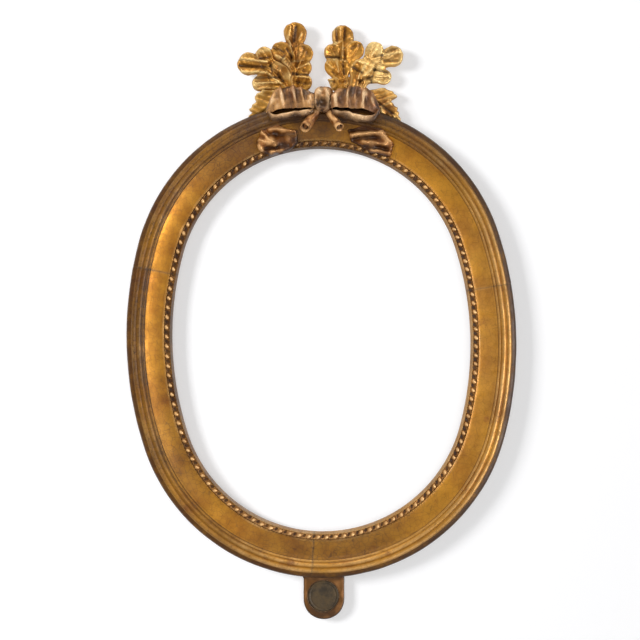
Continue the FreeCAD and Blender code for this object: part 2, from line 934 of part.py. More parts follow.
def turn_button(name):
    """A strip of brass with clipped corners, turned along the ring and clear of the rebate."""
    x, z = button_place(name)
    side = BUTTONS[name][2]
    wide = button_width / 2
    narrow = wide - button_clip
    edge = [(narrow, -wide), (wide, button_clip - wide)]
    edge += [(wide, button_arm - button_clip), (narrow, button_arm)]
    outline = [(x - across, z + side * along) for across, along in edge]
    outline += [(x + across, z + side * along) for across, along in reversed(edge)]
    far = button_pocket_depth - button_gap
    near = far - button_thickness
    radius = button_screw_diameter / 2 + turning_gap
    hole = Part.makeCylinder(radius, button_thickness + 2 * overrun, at(x, z, near - overrun), FRONT)
    return set_button(name, prism(outline, near, far).cut(hole))


def button_screw(name):
    """The round-headed screw that a turn button swings on."""
    x, z = button_place(name)
    head_end = screw_start + button_screw_head_height
    head = peg(x, z, button_screw_head / 2, screw_start, head_end)
    shank = peg(x, z, button_screw_diameter / 2, screw_start, screw_end)
    return set_button(name, join([head, shank]))


def button_screw_hole(name):
    x, z = button_place(name)
    radius = button_screw_diameter / 2 + turning_gap
    return set_button(name, peg_hole(x, z, radius, -overrun, screw_end))


def save(name, shape):
    """Writes one sub-part, with the origin at the hanging point on the wall."""
    moved = shape.copy()
    moved.translate(-at(crest_offset, hanger_height, 0))
    moved.exportStep("parts/" + name + ".step")


os.makedirs("parts", exist_ok=True)
seat = saddle()
for name in SEGMENTS:
    save("ring_" + name, ring_segment(name))
    save("pearls_" + name, pearls(name))
    save("turn_button_" + name, turn_button(name))
save("button_screws", Part.makeCompound([button_screw(name) for name in SEGMENTS]))
save("joint_tongues", Part.makeCompound([tongue(arc, angle) for arc, angle in JOINTS]))
save("crest_tenons", Part.makeCompound([crest_tenon(side) for side in (-1, 1)]))
left_leaves = [
    (LEFT_WIDE_SHARES, LEFT_SIDE_RIB_SHARES),
    (LEFT_TALL_SHARES, LEFT_RIB_SHARES),
]
right_leaves = [
    (RIGHT_TALL_SHARES, RIGHT_RIB_SHARES),
    (RIGHT_WIDE_SHARES, RIGHT_SIDE_RIB_SHARES),
]
save("oak_spray_left", oak_spray(-1, left_leaves, [LEFT_LOW_LEAF_SHARES], seat))
right_pointed = [RIGHT_POINT_LEAF_SHARES, RIGHT_LOW_LEAF_SHARES]
save("oak_spray_right", oak_spray(1, right_leaves, right_pointed, seat))
save("bow_knot", bow_knot(seat))
save("bow_loop_left", bow_loop(-1, loop_length_left, seat))
save("bow_loop_right", bow_loop(1, loop_length_right, seat))
save("branch_stem_left", branch_stem(-1, stem_angle_left, seat))
save("branch_stem_right", branch_stem(1, stem_angle_right, seat))
save("ribbon_tail_left", ribbon_tail(LEFT_TAIL_SHARES, LEFT_FOLD_SHARES, seat))
save("ribbon_tail_right", ribbon_tail(RIGHT_TAIL_SHARES, RIGHT_FOLD_SHARES, seat))
save("tab", tab())
save("tab_disc", tab_disc())
save("hanger_strap", hanger_strap())
save("hanging_ring", hanging_ring())
nails = [nail(x, z, near) for x, z, near in strap_nails() + tab_nails()]
save("cut_nails", Part.makeCompound(nails))
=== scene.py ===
import math

import bpy
import numpy as np
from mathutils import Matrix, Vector


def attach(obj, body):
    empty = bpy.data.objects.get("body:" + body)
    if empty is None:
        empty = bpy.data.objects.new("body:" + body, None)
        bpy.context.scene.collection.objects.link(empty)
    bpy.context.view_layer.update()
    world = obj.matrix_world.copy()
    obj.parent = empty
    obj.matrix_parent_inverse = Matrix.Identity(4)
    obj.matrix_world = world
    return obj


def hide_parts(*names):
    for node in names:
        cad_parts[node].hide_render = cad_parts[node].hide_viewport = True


# An oval frame in carved and gilded wood. Shapes are drawn in millimetres about the middle of the
# oval on the wall: x to the right, z up and a depth towards the viewer. place() takes them to the
# row frame in metres, whose origin is the hanging point. A seed picks the lumps of a noise.

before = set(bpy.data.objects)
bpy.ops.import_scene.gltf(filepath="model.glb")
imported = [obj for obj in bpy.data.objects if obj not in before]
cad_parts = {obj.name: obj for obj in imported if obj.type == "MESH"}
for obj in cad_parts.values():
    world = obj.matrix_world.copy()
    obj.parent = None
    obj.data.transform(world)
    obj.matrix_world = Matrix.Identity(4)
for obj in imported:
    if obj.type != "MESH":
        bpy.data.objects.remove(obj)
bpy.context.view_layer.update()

ORIGIN_X, ORIGIN_Z = 1.0, 200.9
LEAN = math.radians(1.6)
LEAN_COS, LEAN_SIN = math.cos(LEAN), math.sin(LEAN)
HALF_WIDTH, HALF_HEIGHT, END_SHARE = 175.6, 213.9, 0.963
END_RADIUS = END_SHARE * HALF_WIDTH
END_CENTRE = HALF_HEIGHT - END_RADIUS
SIDE_RADIUS = (HALF_WIDTH**2 + HALF_HEIGHT**2 - 2 * HALF_HEIGHT * END_RADIUS) / (
    2 * (HALF_WIDTH - END_RADIUS)
)
SIDE_CENTRE = SIDE_RADIUS - HALF_WIDTH
SIDE_TURN = math.degrees(math.atan2(END_CENTRE, SIDE_CENTRE))
MOULDING_WIDTH = 40.5

# The joints: how far aside those at the ends lie, and the others' shares of a side's turn
TOP_JOINT_ASIDE, BOTTOM_JOINT_ASIDE = 26.45, 15.03
RIGHT_JOINT_SHARE, LEFT_JOINT_SHARE = 0.4968, 0.7634
TOP_JOINT = 90 - math.degrees(math.asin(TOP_JOINT_ASIDE / END_RADIUS))
BOTTOM_JOINT = 270 - math.degrees(math.asin(BOTTOM_JOINT_ASIDE / END_RADIUS))
RIGHT_JOINT = RIGHT_JOINT_SHARE * SIDE_TURN
LEFT_JOINT = 180 - LEFT_JOINT_SHARE * SIDE_TURN
ARCS = {
    "right": (-SIDE_CENTRE, 0.0, SIDE_RADIUS),
    "top": (0.0, END_CENTRE, END_RADIUS),
    "left": (SIDE_CENTRE, 0.0, SIDE_RADIUS),
    "bottom": (0.0, -END_CENTRE, END_RADIUS),
}
SEGMENTS = {
    "upper_right": [("right", RIGHT_JOINT, SIDE_TURN), ("top", SIDE_TURN, TOP_JOINT)],
    "upper_left": [("top", TOP_JOINT, 180 - SIDE_TURN), ("left", 180 - SIDE_TURN, LEFT_JOINT)],
    "lower_left": [("left", LEFT_JOINT, 180 + SIDE_TURN), ("bottom", 180 + SIDE_TURN, BOTTOM_JOINT)],
    "lower_right": [("bottom", BOTTOM_JOINT, 360 - SIDE_TURN), ("right", -SIDE_TURN, RIGHT_JOINT)],
}
PEARL_PITCH = {"upper_right": 7.6, "upper_left": 8.4, "lower_left": 8.7, "lower_right": 7.9}

# The crest is drawn about its knot
KNOT_X, KNOT_Z = 1.0, HALF_HEIGHT + 3.1
CREST_HALF_WIDTH, CREST_HEIGHT, CREST_LIFT = 75.0, 69.5, 2.2

# Millimetres that stand for nowhere near
FAR = 1e3


def place(points):
    """Points of (x, z, depth) in millimetres, in the row frame in metres."""
    points = np.asarray(points, float).reshape(-1, 3)
    return np.stack(
        [(points[:, 0] - ORIGIN_X) / 1000, -points[:, 2] / 1000, (points[:, 1] - ORIGIN_Z) / 1000],
        axis=1,
    )


def noise(x, y, z, size, seed=0):
    """Smooth noise from -1 to 1, whose lumps are about a size across."""
    q = np.stack(np.broadcast_arrays(x, y, z), axis=-1).astype(float) / size + 7.31 * seed
    base = np.floor(q).astype(np.int64)
    f = q - base
    f = f * f * (3 - 2 * f)
    total = np.zeros(f.shape[:-1])
    for corner in range(8):
        step = np.array([corner & 1, corner >> 1 & 1, corner >> 2 & 1])
        c = base + step
        h = c[..., 0] * 374761393 + c[..., 1] * 668265263 + c[..., 2] * 974634777 + seed * 9176
        h &= 0xFFFFFFFF
        h = ((h ^ (h >> 13)) * 1274126177) & 0xFFFFFFFF
        value = ((h ^ (h >> 16)) & 0xFFFF) / 32767.5 - 1
        total += np.prod(np.where(step, f, 1 - f), axis=-1) * value
    return total


def unit(value):
    """A value kept between 0 and 1."""
    return np.clip(value, 0, 1)


def bump(distance, width):
    """A soft hill of height 1 with a width."""
    return np.exp(-((distance / width) ** 2))


def power(value, exponent):
    """A power that keeps the value's sign."""
    return np.sign(value) * np.abs(value) ** exponent


def smooth_curve(places, values, at):
    """A smooth line through values at places, read at other places."""
    places, values = np.asarray(places, float), np.asarray(values, float)
    slopes = np.gradient(values, places)
    at = np.clip(at, places[0], places[-1])
    i = np.clip(np.searchsorted(places, at, side="right") - 1, 0, len(places) - 2)
    width = places[i + 1] - places[i]
    t = (at - places[i]) / width
    return (
        (2 * t**3 - 3 * t**2 + 1) * values[i]
        + (t**3 - 2 * t**2 + t) * width * slopes[i]
        + (3 * t**2 - 2 * t**3) * values[i + 1]
        + (t**3 - t**2) * width * slopes[i + 1]
    )


# Meshes


def put(name, data):
    """A new object in the scene."""
    thing = bpy.data.objects.new(name, data)
    bpy.context.scene.collection.objects.link(thing)
    return thing


class Piece:
    """Vertices, faces and the two painted values of one piece, added shape by shape: one of dirt
    and painted shade, one of rubbing and painted highlight.
    """

    def __init__(self):
        self.points, self.faces, self.hollow, self.rub, self.finish = [], [], [], [], []
        self.count = 0

    def add(self, points, faces, hollow=0.0, rub=0.0, finish=0):
        points = np.asarray(points, float).reshape(-1, 3)
        self.points.append(points)
        for kept, values in ((self.hollow, hollow), (self.rub, rub)):
            kept.append(np.broadcast_to(np.asarray(values, float).ravel(), (len(points),)))
        self.faces += [[v + self.count for v in face] for face in faces]
        self.finish += [finish] * len(faces) if np.isscalar(finish) else list(finish)
        self.count += len(points)

    def add_tube(self, grid, hollow, rub):
        """Adds a capped tube, given as rows of points that each run round it."""
        rows, around = np.shape(grid)[:2]
        faces = []
        for i in range(rows - 1):
            a, b = i * around, (i + 1) * around
            for j in range(around):
                k = (j + 1) % around
                faces.append([a + j, a + k, b + k, b + j])
        faces.append(list(range(around))[::-1])
        faces.append([(rows - 1) * around + j for j in range(around)])
        self.add(grid, faces, hollow, rub)

    def make(self, name, materials, slot, stands_for=(), sharp=50):
        """The piece as an object; edges sharper than an angle in degrees stay crisp."""
        mesh = bpy.data.meshes.new(name)
        mesh.from_pydata(place(np.concatenate(self.points)).tolist(), [], self.faces)
        for label, values in (("hollow", self.hollow), ("rub", self.rub)):
            layer = mesh.attributes.new(label, "FLOAT", "POINT")
            layer.data.foreach_set("value", unit(np.concatenate(values)).astype(np.float32))
        for material in materials:
            mesh.materials.append(material)
        mesh.polygons.foreach_set("material_index", self.finish)
        mesh.polygons.foreach_set("use_smooth", [True] * len(self.faces))
        mesh.update()
        mesh.set_sharp_from_angle(angle=math.radians(sharp))
        thing = put(name, mesh)
        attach(thing, "frame")
        if stands_for:
            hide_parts(*stands_for)


def relief(distance, height, base, box, cell, hollow=None, rub=None):
    """A carved slab. distance is signed from its outline, negative inside. height and base give its
    front and back, from x, z and the distance in from the outline."""
    xs = np.arange(box[0], box[1] + cell, cell)
    zs = np.arange(box[2], box[3] + cell, cell)
    x, z = np.meshgrid(xs, zs, indexing="ij")
    d = distance(x, z)
    inside = d < 0.4 * cell
    cells = inside[:-1, :-1] & inside[1:, :-1] & inside[:-1, 1:] & inside[1:, 1:]
    around = np.zeros(x.shape, int)
    for di in (0, 1):
        for dj in (0, 1):
            around[di : di + cells.shape[0], dj : dj + cells.shape[1]] += cells
    used, edge = around > 0, (around > 0) & (around < 4)
    gx, gz = np.gradient(d, cell)
    steep = np.maximum(gx**2 + gz**2, 0.2)
    x = np.where(edge, x - np.clip(d * gx / steep, -0.9 * cell, 0.9 * cell), x)
    z = np.where(edge, z - np.clip(d * gz / steep, -0.9 * cell, 0.9 * cell), z)
    inset = np.where(edge, 0, np.maximum(-d, 0))
    back = base(x, z, inset)
    front = np.maximum(height(x, z, inset), back + 0.05)
    number = np.cumsum(used).reshape(used.shape) - 1
    total = int(used.sum())
    points = np.concatenate([np.stack([x[used], z[used], side[used]], 1) for side in (front, back)])
    i, j = np.nonzero(cells)
    a, b, c, e = number[i, j], number[i + 1, j], number[i + 1, j + 1], number[i, j + 1]
    faces = np.stack([a, b, c, e], 1).tolist() + (np.stack([a, e, c, b], 1) + total).tolist()
    padded = np.pad(cells, 1)
    for di, dj, first, second in ((0, -1, a, b), (1, 0, b, c), (0, 1, c, e), (-1, 0, e, a)):
        open_side = ~padded[i + 1 + di, j + 1 + dj]
        p, q = first[open_side], second[open_side]
        faces += np.stack([q, p, p + total, q + total], 1).tolist()
    painted = []
    for paint in (hollow, rub):
        value = paint(x, z, inset) if paint else 0 * x
        painted.append(np.concatenate([value[used], 0 * value[used]]))
    return points, faces, *painted


def carve(piece, *shape):
    """Adds a carved slab to a piece, with its back left as bare wood, the piece's second finish."""
    points, faces, hollow, rub = relief(*shape)
    piece.add(points, faces, hollow, rub, [int(min(face) >= len(points) // 2) for face in faces])


def box_round(places, margin):
    """The box round some places, with a margin."""
    xs, zs = [p[0] for p in places], [p[1] for p in places]
    return min(xs) - margin, max(xs) + margin, min(zs) - margin, max(zs) + margin


def rounded(inset, radius):
    """Rises from 0 to 1 over a radius, as a rounded edge does."""
    return np.sqrt(np.maximum(0, 1 - (1 - unit(inset / radius)) ** 2))


def strip(x, z, start, end, start_radius=0, end_radius=0):
    """The distance from a straight strip with round ends, or from a line."""
    run = np.array(end) - np.array(start)
    t = unit(((x - start[0]) * run[0] + (z - start[1]) * run[1]) / (run @ run))
    away = np.hypot(x - start[0] - t * run[0], z - start[1] - t * run[1])
    return away - (start_radius + t * (end_radius - start_radius))


def along_and_across(x, z, start, end):
    """How far a place lies along a line from its start, and to its left."""
    run = math.dist(start, end)
    ux, uz = (end[0] - start[0]) / run, (end[1] - start[1]) / run
    return (x - start[0]) * ux + (z - start[1]) * uz, (x - start[0]) * -uz + (z - start[1]) * ux


def outline(x, z, corners):
    """The signed distance from a polygon."""
    best = np.full(np.shape(x), FAR)
    inside = np.zeros(np.shape(x), bool)
    for (ax, az), (bx, bz) in zip(corners, corners[1:] + corners[:1]):
        best = np.minimum(best, strip(x, z, (ax, az), (bx, bz)))
        crosses = (az > z) != (bz > z)
        with np.errstate(divide="ignore", invalid="ignore"):
            inside ^= crosses & (x < (bx - ax) * (z - az) / (bz - az) + ax)
    return np.where(inside, -best, best)


def blend(first, second, width):
    """Two distances joined, with a fillet of a width."""
    h = unit(0.5 + 0.5 * (second - first) / width)
    return second + (first - second) * h - width * h * (1 - h)


# The moulding's section


def arc_between(start, end, rise, count):
    """Points between two points of a section, on an arc bulged by a rise, without the last."""
    t = np.linspace(0, 1, count, endpoint=False)
    chord = np.array(end) - np.array(start)
    side = np.array([-chord[1], chord[0]]) / np.hypot(*chord)
    lift = 4 * t * (1 - t) * rise
    return np.array(start) + t[:, None] * chord + lift[:, None] * side


# Runs of points of (inset, depth), from the back edge over the reeds, the cove and the pearls' bed
# to the sight edge, each with how much dirt and painted shade and how much rubbing and painted
# highlight it takes
SECTION = [
    # The outer side and its round take painted shade
    ([[-0.3, 0.6], [-0.3, 4.0], [-0.3, 8.0], [-0.3, 12.0], [-0.3, 15.4]], 0.9, 0.0),
    (arc_between((-0.3, 16.2), (3.9, 20.5), 1.15, 8), 0.97, 0.0),
    ([[3.95, 20.45], [4.15, 20.5]], 0.8, 0.0),
    (arc_between((4.3, 20.8), (8.7, 22.75), 1.6, 11), 0.05, 0.9),
    ([[8.85, 22.65], [9.15, 22.7]], 0.5, 0.0),
    (arc_between((9.3, 22.85), (13.75, 22.5), 1.5, 11), 0.05, 0.8),
    ([[13.9, 22.25], [14.15, 22.0], [14.4, 21.9]], 0.45, 0.0),
    (arc_between((14.5, 21.95), (16.3, 21.0), 0.35, 5), 0.05, 0.55),
    ([[16.4, 20.75], [16.6, 20.5]], 0.7, 0.0),
    (arc_between((16.75, 20.45), (18.6, 19.35), 0.1, 4), 0.0, 0.1),
    (arc_between((18.8, 19.25), (32.5, 16.05), -0.72, 14), 0.0, 0.05),
    ([[32.6, 16.1], [32.75, 16.45], [33.0, 16.7], [33.3, 16.7], [33.55, 16.4]], 0.0, 0.9),
    ([[33.65, 15.6], [33.7, 14.4], [33.8, 13.75]], 0.8, 0.0),
    ([[34.6, 13.7], [36.0, 13.7], [37.4, 13.7], [38.0, 13.75]], 1.0, 0.0),
    ([[38.15, 14.6], [38.25, 15.5], [38.45, 15.85], [38.75, 15.85], [38.95, 15.5]], 0.15, 0.9),
    ([[39.4, 13.6], [39.9, 11.3], [40.35, 9.2], [40.45, 8.1]], 0.2, 0.5),
]
INNER_SECTION = np.array(
    [[39.6, 8.3], [37.9, 12.8], [33.5, 12.8], [32.6, 14.9], [25.5, 15.6], [18.5, 17.6], [14.0, 20.5],
     [9.0, 20.9], [4.05, 19.4], [0.8, 15.5], [0.5, 0.6]]
)


def section():
    """The gilded face's section, with each point's dirt and painted shade, and its rubbing and painted
    highlight: round runs take most of the latter at their crowns."""
    hollow, rub = [], []
    for run, how_hollow, how_rubbed in SECTION:
        round_run = how_rubbed > 0.4 and len(run) > 5
        crown = np.sin(np.pi * np.linspace(0, 1, len(run), endpoint=False)) if round_run else 1.0
        hollow.append(np.full(len(run), how_hollow))
        rub.append(how_rubbed * crown * np.ones(len(run)))
    return np.concatenate([run[0] for run in SECTION]), np.concatenate(hollow), np.concatenate(rub)


FACE, FACE_DIRT_AND_SHADE, FACE_RUB_AND_HIGHLIGHT = section()
# The face's depth, never lower than any place nearer the pearls
CLIMB_INSETS = FACE[4:-3, 0]
CLIMB_DEPTHS = np.maximum.accumulate(FACE[4:-3, 1][::-1])[::-1]


def along_segment(name, step):
    """The arc centre, radius, angle and distance run of places along a segment, as columns."""
    rows, run = [], 0.0
    for arc, first, last in SEGMENTS[name]:
        cx, cz, radius = ARCS[arc]
        length = math.radians(last - first) * radius
        count = max(2, round(length / step))
        for k in range(1 if rows else 0, count + 1):
            angle = math.radians(first + (last - first) * k / count)
            rows.append((cx, cz, radius, angle, run + length * k / count))
        run += length
    return np.array(rows)


def on_ring(rows, inset, depth):
    """Points at insets and depths, carried along a segment and leaned with the oval."""
    cx, cz, radius, turn = (rows[:, k : k + 1] for k in range(4))
    x = cx + (radius - inset) * np.cos(turn)
    z = cz + (radius - inset) * np.sin(turn)
    depth = np.broadcast_to(depth, x.shape)
    return np.stack([x * LEAN_COS - z * LEAN_SIN, x * LEAN_SIN + z * LEAN_COS, depth], -1)


def ring_inset(x, z):
    """How far a place near the oval's top or bottom lies in from its outer edge."""
    u = x * LEAN_COS + z * LEAN_SIN
    w = -x * LEAN_SIN + z * LEAN_COS
    return END_RADIUS - np.hypot(u, np.abs(w) - END_CENTRE)


def over_ring(x, z, depth, gap=0.25):
    """A depth, pushed forward where the moulding's face would be in the way."""
    inset = ring_inset(x, z)
    surface = np.interp(inset, CLIMB_INSETS, CLIMB_DEPTHS) + gap
    on_moulding = (inset > -0.4) & (inset < MOULDING_WIDTH)
    return np.maximum(depth, np.where(on_moulding, surface, -FAR))


# Materials


class Paint:
    """A procedural material, built with short calls. Nodes are made in the order they are called."""

    def __init__(self, name):
        self.material = bpy.data.materials.new(name)
        self.material.use_nodes = True
        self.nodes, self.links = self.material.node_tree.nodes, self.material.node_tree.links
        self.shader = self.nodes["Principled BSDF"]
        self.where = self.nodes.new("ShaderNodeTexCoord").outputs["Object"]

    def join(self, value, socket):
        if isinstance(value, bpy.types.NodeSocket):
            self.links.new(value, socket)
        else:
            socket.default_value = value

    def node(self, kind, inputs, **settings):
        """A new node, with values or other nodes' outputs at its inputs."""
        node = self.nodes.new("ShaderNode" + kind)
        for name, value in settings.items():
            setattr(node, name, value)
        for label, value in inputs.items():
            self.join(value, node.inputs[label])
        return node

    def maths(self, operation, first, second):
        return self.node("Math", {0: first, 1: second}, operation=operation, use_clamp=True).outputs[0]

    def times(self, first, second):
        return self.maths("MULTIPLY", first, second)

    def mix(self, share, first, second):
        return self.node("Mix", {0: share, 6: first, 7: second}, data_type="RGBA").outputs[2]

    def grain(self, scale, detail, stretch=(1, 1, 1)):
        """Noise whose lumps number scale to a metre, drawn out by a stretch."""
        where = self.node("Mapping", {"Scale": stretch, "Vector": self.where}).outputs[0]
        inputs = {"Vector": where, "Scale": scale, "Detail": detail, "Roughness": 0.6}
        return self.node("TexNoise", inputs).outputs["Fac"]

    def cracks(self, scale):
        """Thin lines between cells, as in crazed gesso."""
        cells = self.node("TexVoronoi", {"Scale": scale, "Vector": self.where}, feature="DISTANCE_TO_EDGE")
        return self.between(cells.outputs["Distance"], 0.05, 0.0)

    def between(self, value, low, high, start=0.0, end=1.0):
        """A value that goes smoothly from start to end as another goes from low to high."""
        inputs = {"Value": value, "From Min": low, "From Max": high, "To Min": start, "To Max": end}
        return self.node("MapRange", inputs, interpolation_type="SMOOTHSTEP").outputs["Result"]

    def painted(self, name):
        """A value that the piece's own vertices carry."""
        return self.node("Attribute", {}, attribute_name=name).outputs["Fac"]

    def raise_surface(self, height, strength, distance):
        normal = self.shader.inputs["Normal"]
        inputs = {"Strength": strength, "Distance": distance, "Height": height}
        if normal.is_linked:
            inputs["Normal"] = normal.links[0].from_socket
        self.join(self.node("Bump", inputs).outputs[0], normal)

    def finish(self, colour, metallic, roughness):
        for label, value in (("Base Color", colour), ("Metallic", metallic), ("Roughness", roughness)):
            self.join(value, self.shader.inputs[label])
        return self.material


def rgb(text):
    """A colour written as it shows on screen, as the shader wants it."""
    parts = [int(text[k : k + 2], 16) / 255 for k in (1, 3, 5)]
    return tuple(p / 12.92 if p <= 0.04045 else ((p + 0.055) / 1.055) ** 2.4 for p in parts) + (1.0,)


def gilding(name, colours, rubbed, metal, rough):
    """Old gold leaf on bole and gesso, pale where it is rubbed and where highlight is painted, and
    dark where it is dirty and where shade is painted. The colours are the leaf's two, the pale one
    of rubbed heights and painted highlights, the bole's, and the dark one of dirt and painted shade."""
    gold, deep, pale, bole, dirt_and_shade_colour = map(rgb, colours.split())
    paint = Paint(name)
    hollow, high = paint.painted("hollow"), paint.painted("rub")
    leaf = paint.mix(paint.between(paint.grain(28, 5), 0.35, 0.68), gold, deep)
    leaf = paint.mix(paint.between(paint.grain(170, 6), 0.52, 0.74, 0, 0.55), leaf, deep)
    # Pale where the piece is rubbed and where highlight is painted
    bright = paint.times(high, paint.between(paint.grain(110, 5), 0.25, 0.6, 0.45, 1.0))
    colour = paint.mix(bright, leaf, pale)
    patch = paint.between(paint.grain(46, 6), 0.66 - 0.12 * rubbed, 0.76)
    specks = paint.between(paint.grain(420, 3), 0.58, 0.72)
    flecks = paint.times(specks, paint.maths("ADD", high, 0.2))
    worn = paint.times(paint.maths("ADD", patch, paint.times(flecks, 0.6)), rubbed)
    colour = paint.mix(worn, colour, bole)
    crazed = paint.times(paint.cracks(230), 0.3)
    # Dark where the piece is dirty and where shade is painted, with crazing
    shade_and_soil = paint.times(hollow, paint.between(paint.grain(120, 4), 0.15, 0.6, 0.72, 1.0))
    shaded_and_soiled = paint.maths("ADD", shade_and_soil, crazed)
    colour = paint.mix(paint.times(shaded_and_soiled, 0.92), colour, dirt_and_shade_colour)
    dull = paint.maths("MAXIMUM", worn, shaded_and_soiled)
    shine = paint.maths("SUBTRACT", 1.0, paint.maths("MAXIMUM", dull, paint.times(bright, 0.45)))
    paint.raise_surface(paint.grain(150, 4), 0.25, 0.0004)
    paint.raise_surface(paint.grain(900, 4), 0.12, 0.0002)
    satin = paint.between(paint.grain(75, 5), 0.3, 0.7, rough - 0.07, rough + 0.12)
    paint.shader.inputs["Specular IOR Level"].default_value = 0.35
    return paint.finish(colour, paint.times(shine, metal), satin)


def bare_wood(name, pale, dark, across):
    """Old bare wood, with grain along the piece."""
    paint = Paint(name)
    lines = paint.grain(60, 8, (1, 1, 14) if across else (14, 1, 1))
    fibre = paint.grain(340, 4, (1, 1, 10) if across else (10, 1, 1))
    colour = paint.mix(paint.between(lines, 0.3, 0.7), rgb(pale), rgb(dark))
    colour = paint.mix(paint.between(paint.grain(22, 6), 0.5, 0.75, 0, 0.6), colour, rgb("#3a2616"))
    paint.raise_surface(fibre, 0.3, 0.0003)
    return paint.finish(colour, 0.0, paint.between(lines, 0.2, 0.8, 0.62, 0.82))


def worn_metal(name, bright, dark, metal, rough):
    """Metal, or waxed wood, that is duller and rougher in patches."""
    paint = Paint(name)
    patch = paint.between(paint.grain(130, 6), 0.38, 0.66)
    colour = paint.mix(patch, rgb(bright), rgb(dark))
    paint.raise_surface(paint.grain(600, 4), 0.25, 0.0002)
    metallic = paint.between(patch, 0, 1, metal, metal * 0.55)
    return paint.finish(colour, metallic, paint.between(patch, 0, 1, rough, rough + 0.25))


# Each gilding's pale colour is for rubbed heights and painted highlights, its last, dark one for dirt and
# painted shade
RING_GILT = gilding("ring_gilding", "#c88c2c #9c621a #e8b670 #7a4020 #2a1004", 0.75, 0.8, 0.46)
PEARL_GILT = gilding("pearl_gilding", "#c48c4c #925f2e #f0c488 #8a5030 #1c0b02", 0.4, 0.55, 0.46)
LEAF_GILT = gilding("leaf_gilding", "#cc943e #986428 #f4d28c #8a4e24 #331a08", 0.6, 0.68, 0.4)
BOW_GILT = gilding("bow_gilding", "#d09a5e #96623a #fcd6a6 #70361c #1f0c04", 0.7, 0.42, 0.42)
TAIL_GILT = gilding("tail_gilding", "#a26428 #703c12 #e8b478 #6a3018 #1c0a03", 0.7, 0.5, 0.42)
TAB_GILT = gilding("tab_gilding", "#6a4418 #4e2e10 #946434 #66300f #241204", 0.7, 0.4, 0.5)
WOOD = bare_wood("bare_wood", "#8a6a48", "#5e452c", False)
PALE_WOOD = bare_wood("pale_wood", "#a5845c", "#7c5e3c", True)
DISC = worn_metal("dark_disc", "#54432a", "#2e2416", 0.35, 0.42)
IRON = worn_metal("forged_iron", "#4a4038", "#5a3a28", 0.75, 0.5)
BRASS = worn_metal("turn_brass", "#b8954e", "#6e5528", 0.9, 0.36)


# The ring's gilded face, a thin closed shell over each segment

# Where shade is painted on the frieze: the angle round the oval, how far it reaches, and how much
SHADED_PLACES = ((2.05, 0.45, 0.62), (2.95, 0.3, 0.16), (3.6, 0.4, 0.55), (4.4, 0.3, 0.3), (4.95, 0.5, 0.62))
# The light comes from the left and above; the reeds are painted lightest at this angle and get painted shade
# away from it
LIT_ANGLE = -0.87
# Insets of the reeds' crowns, of the frieze with the pearls' bed, and of the fine rope beside them
REEDS_START, REEDS_END = 4.2, 14.0
FRIEZE_START, BED_END = 16.9, 38.05
ROPE_INSET, ROPE_PITCH = 33.1, 3.4
# Behind the crest the outer side is cut back over the hanging ring's slot
SLOT_HALF_WIDTH, SLOT_DEPTH = 11.2, 7.1


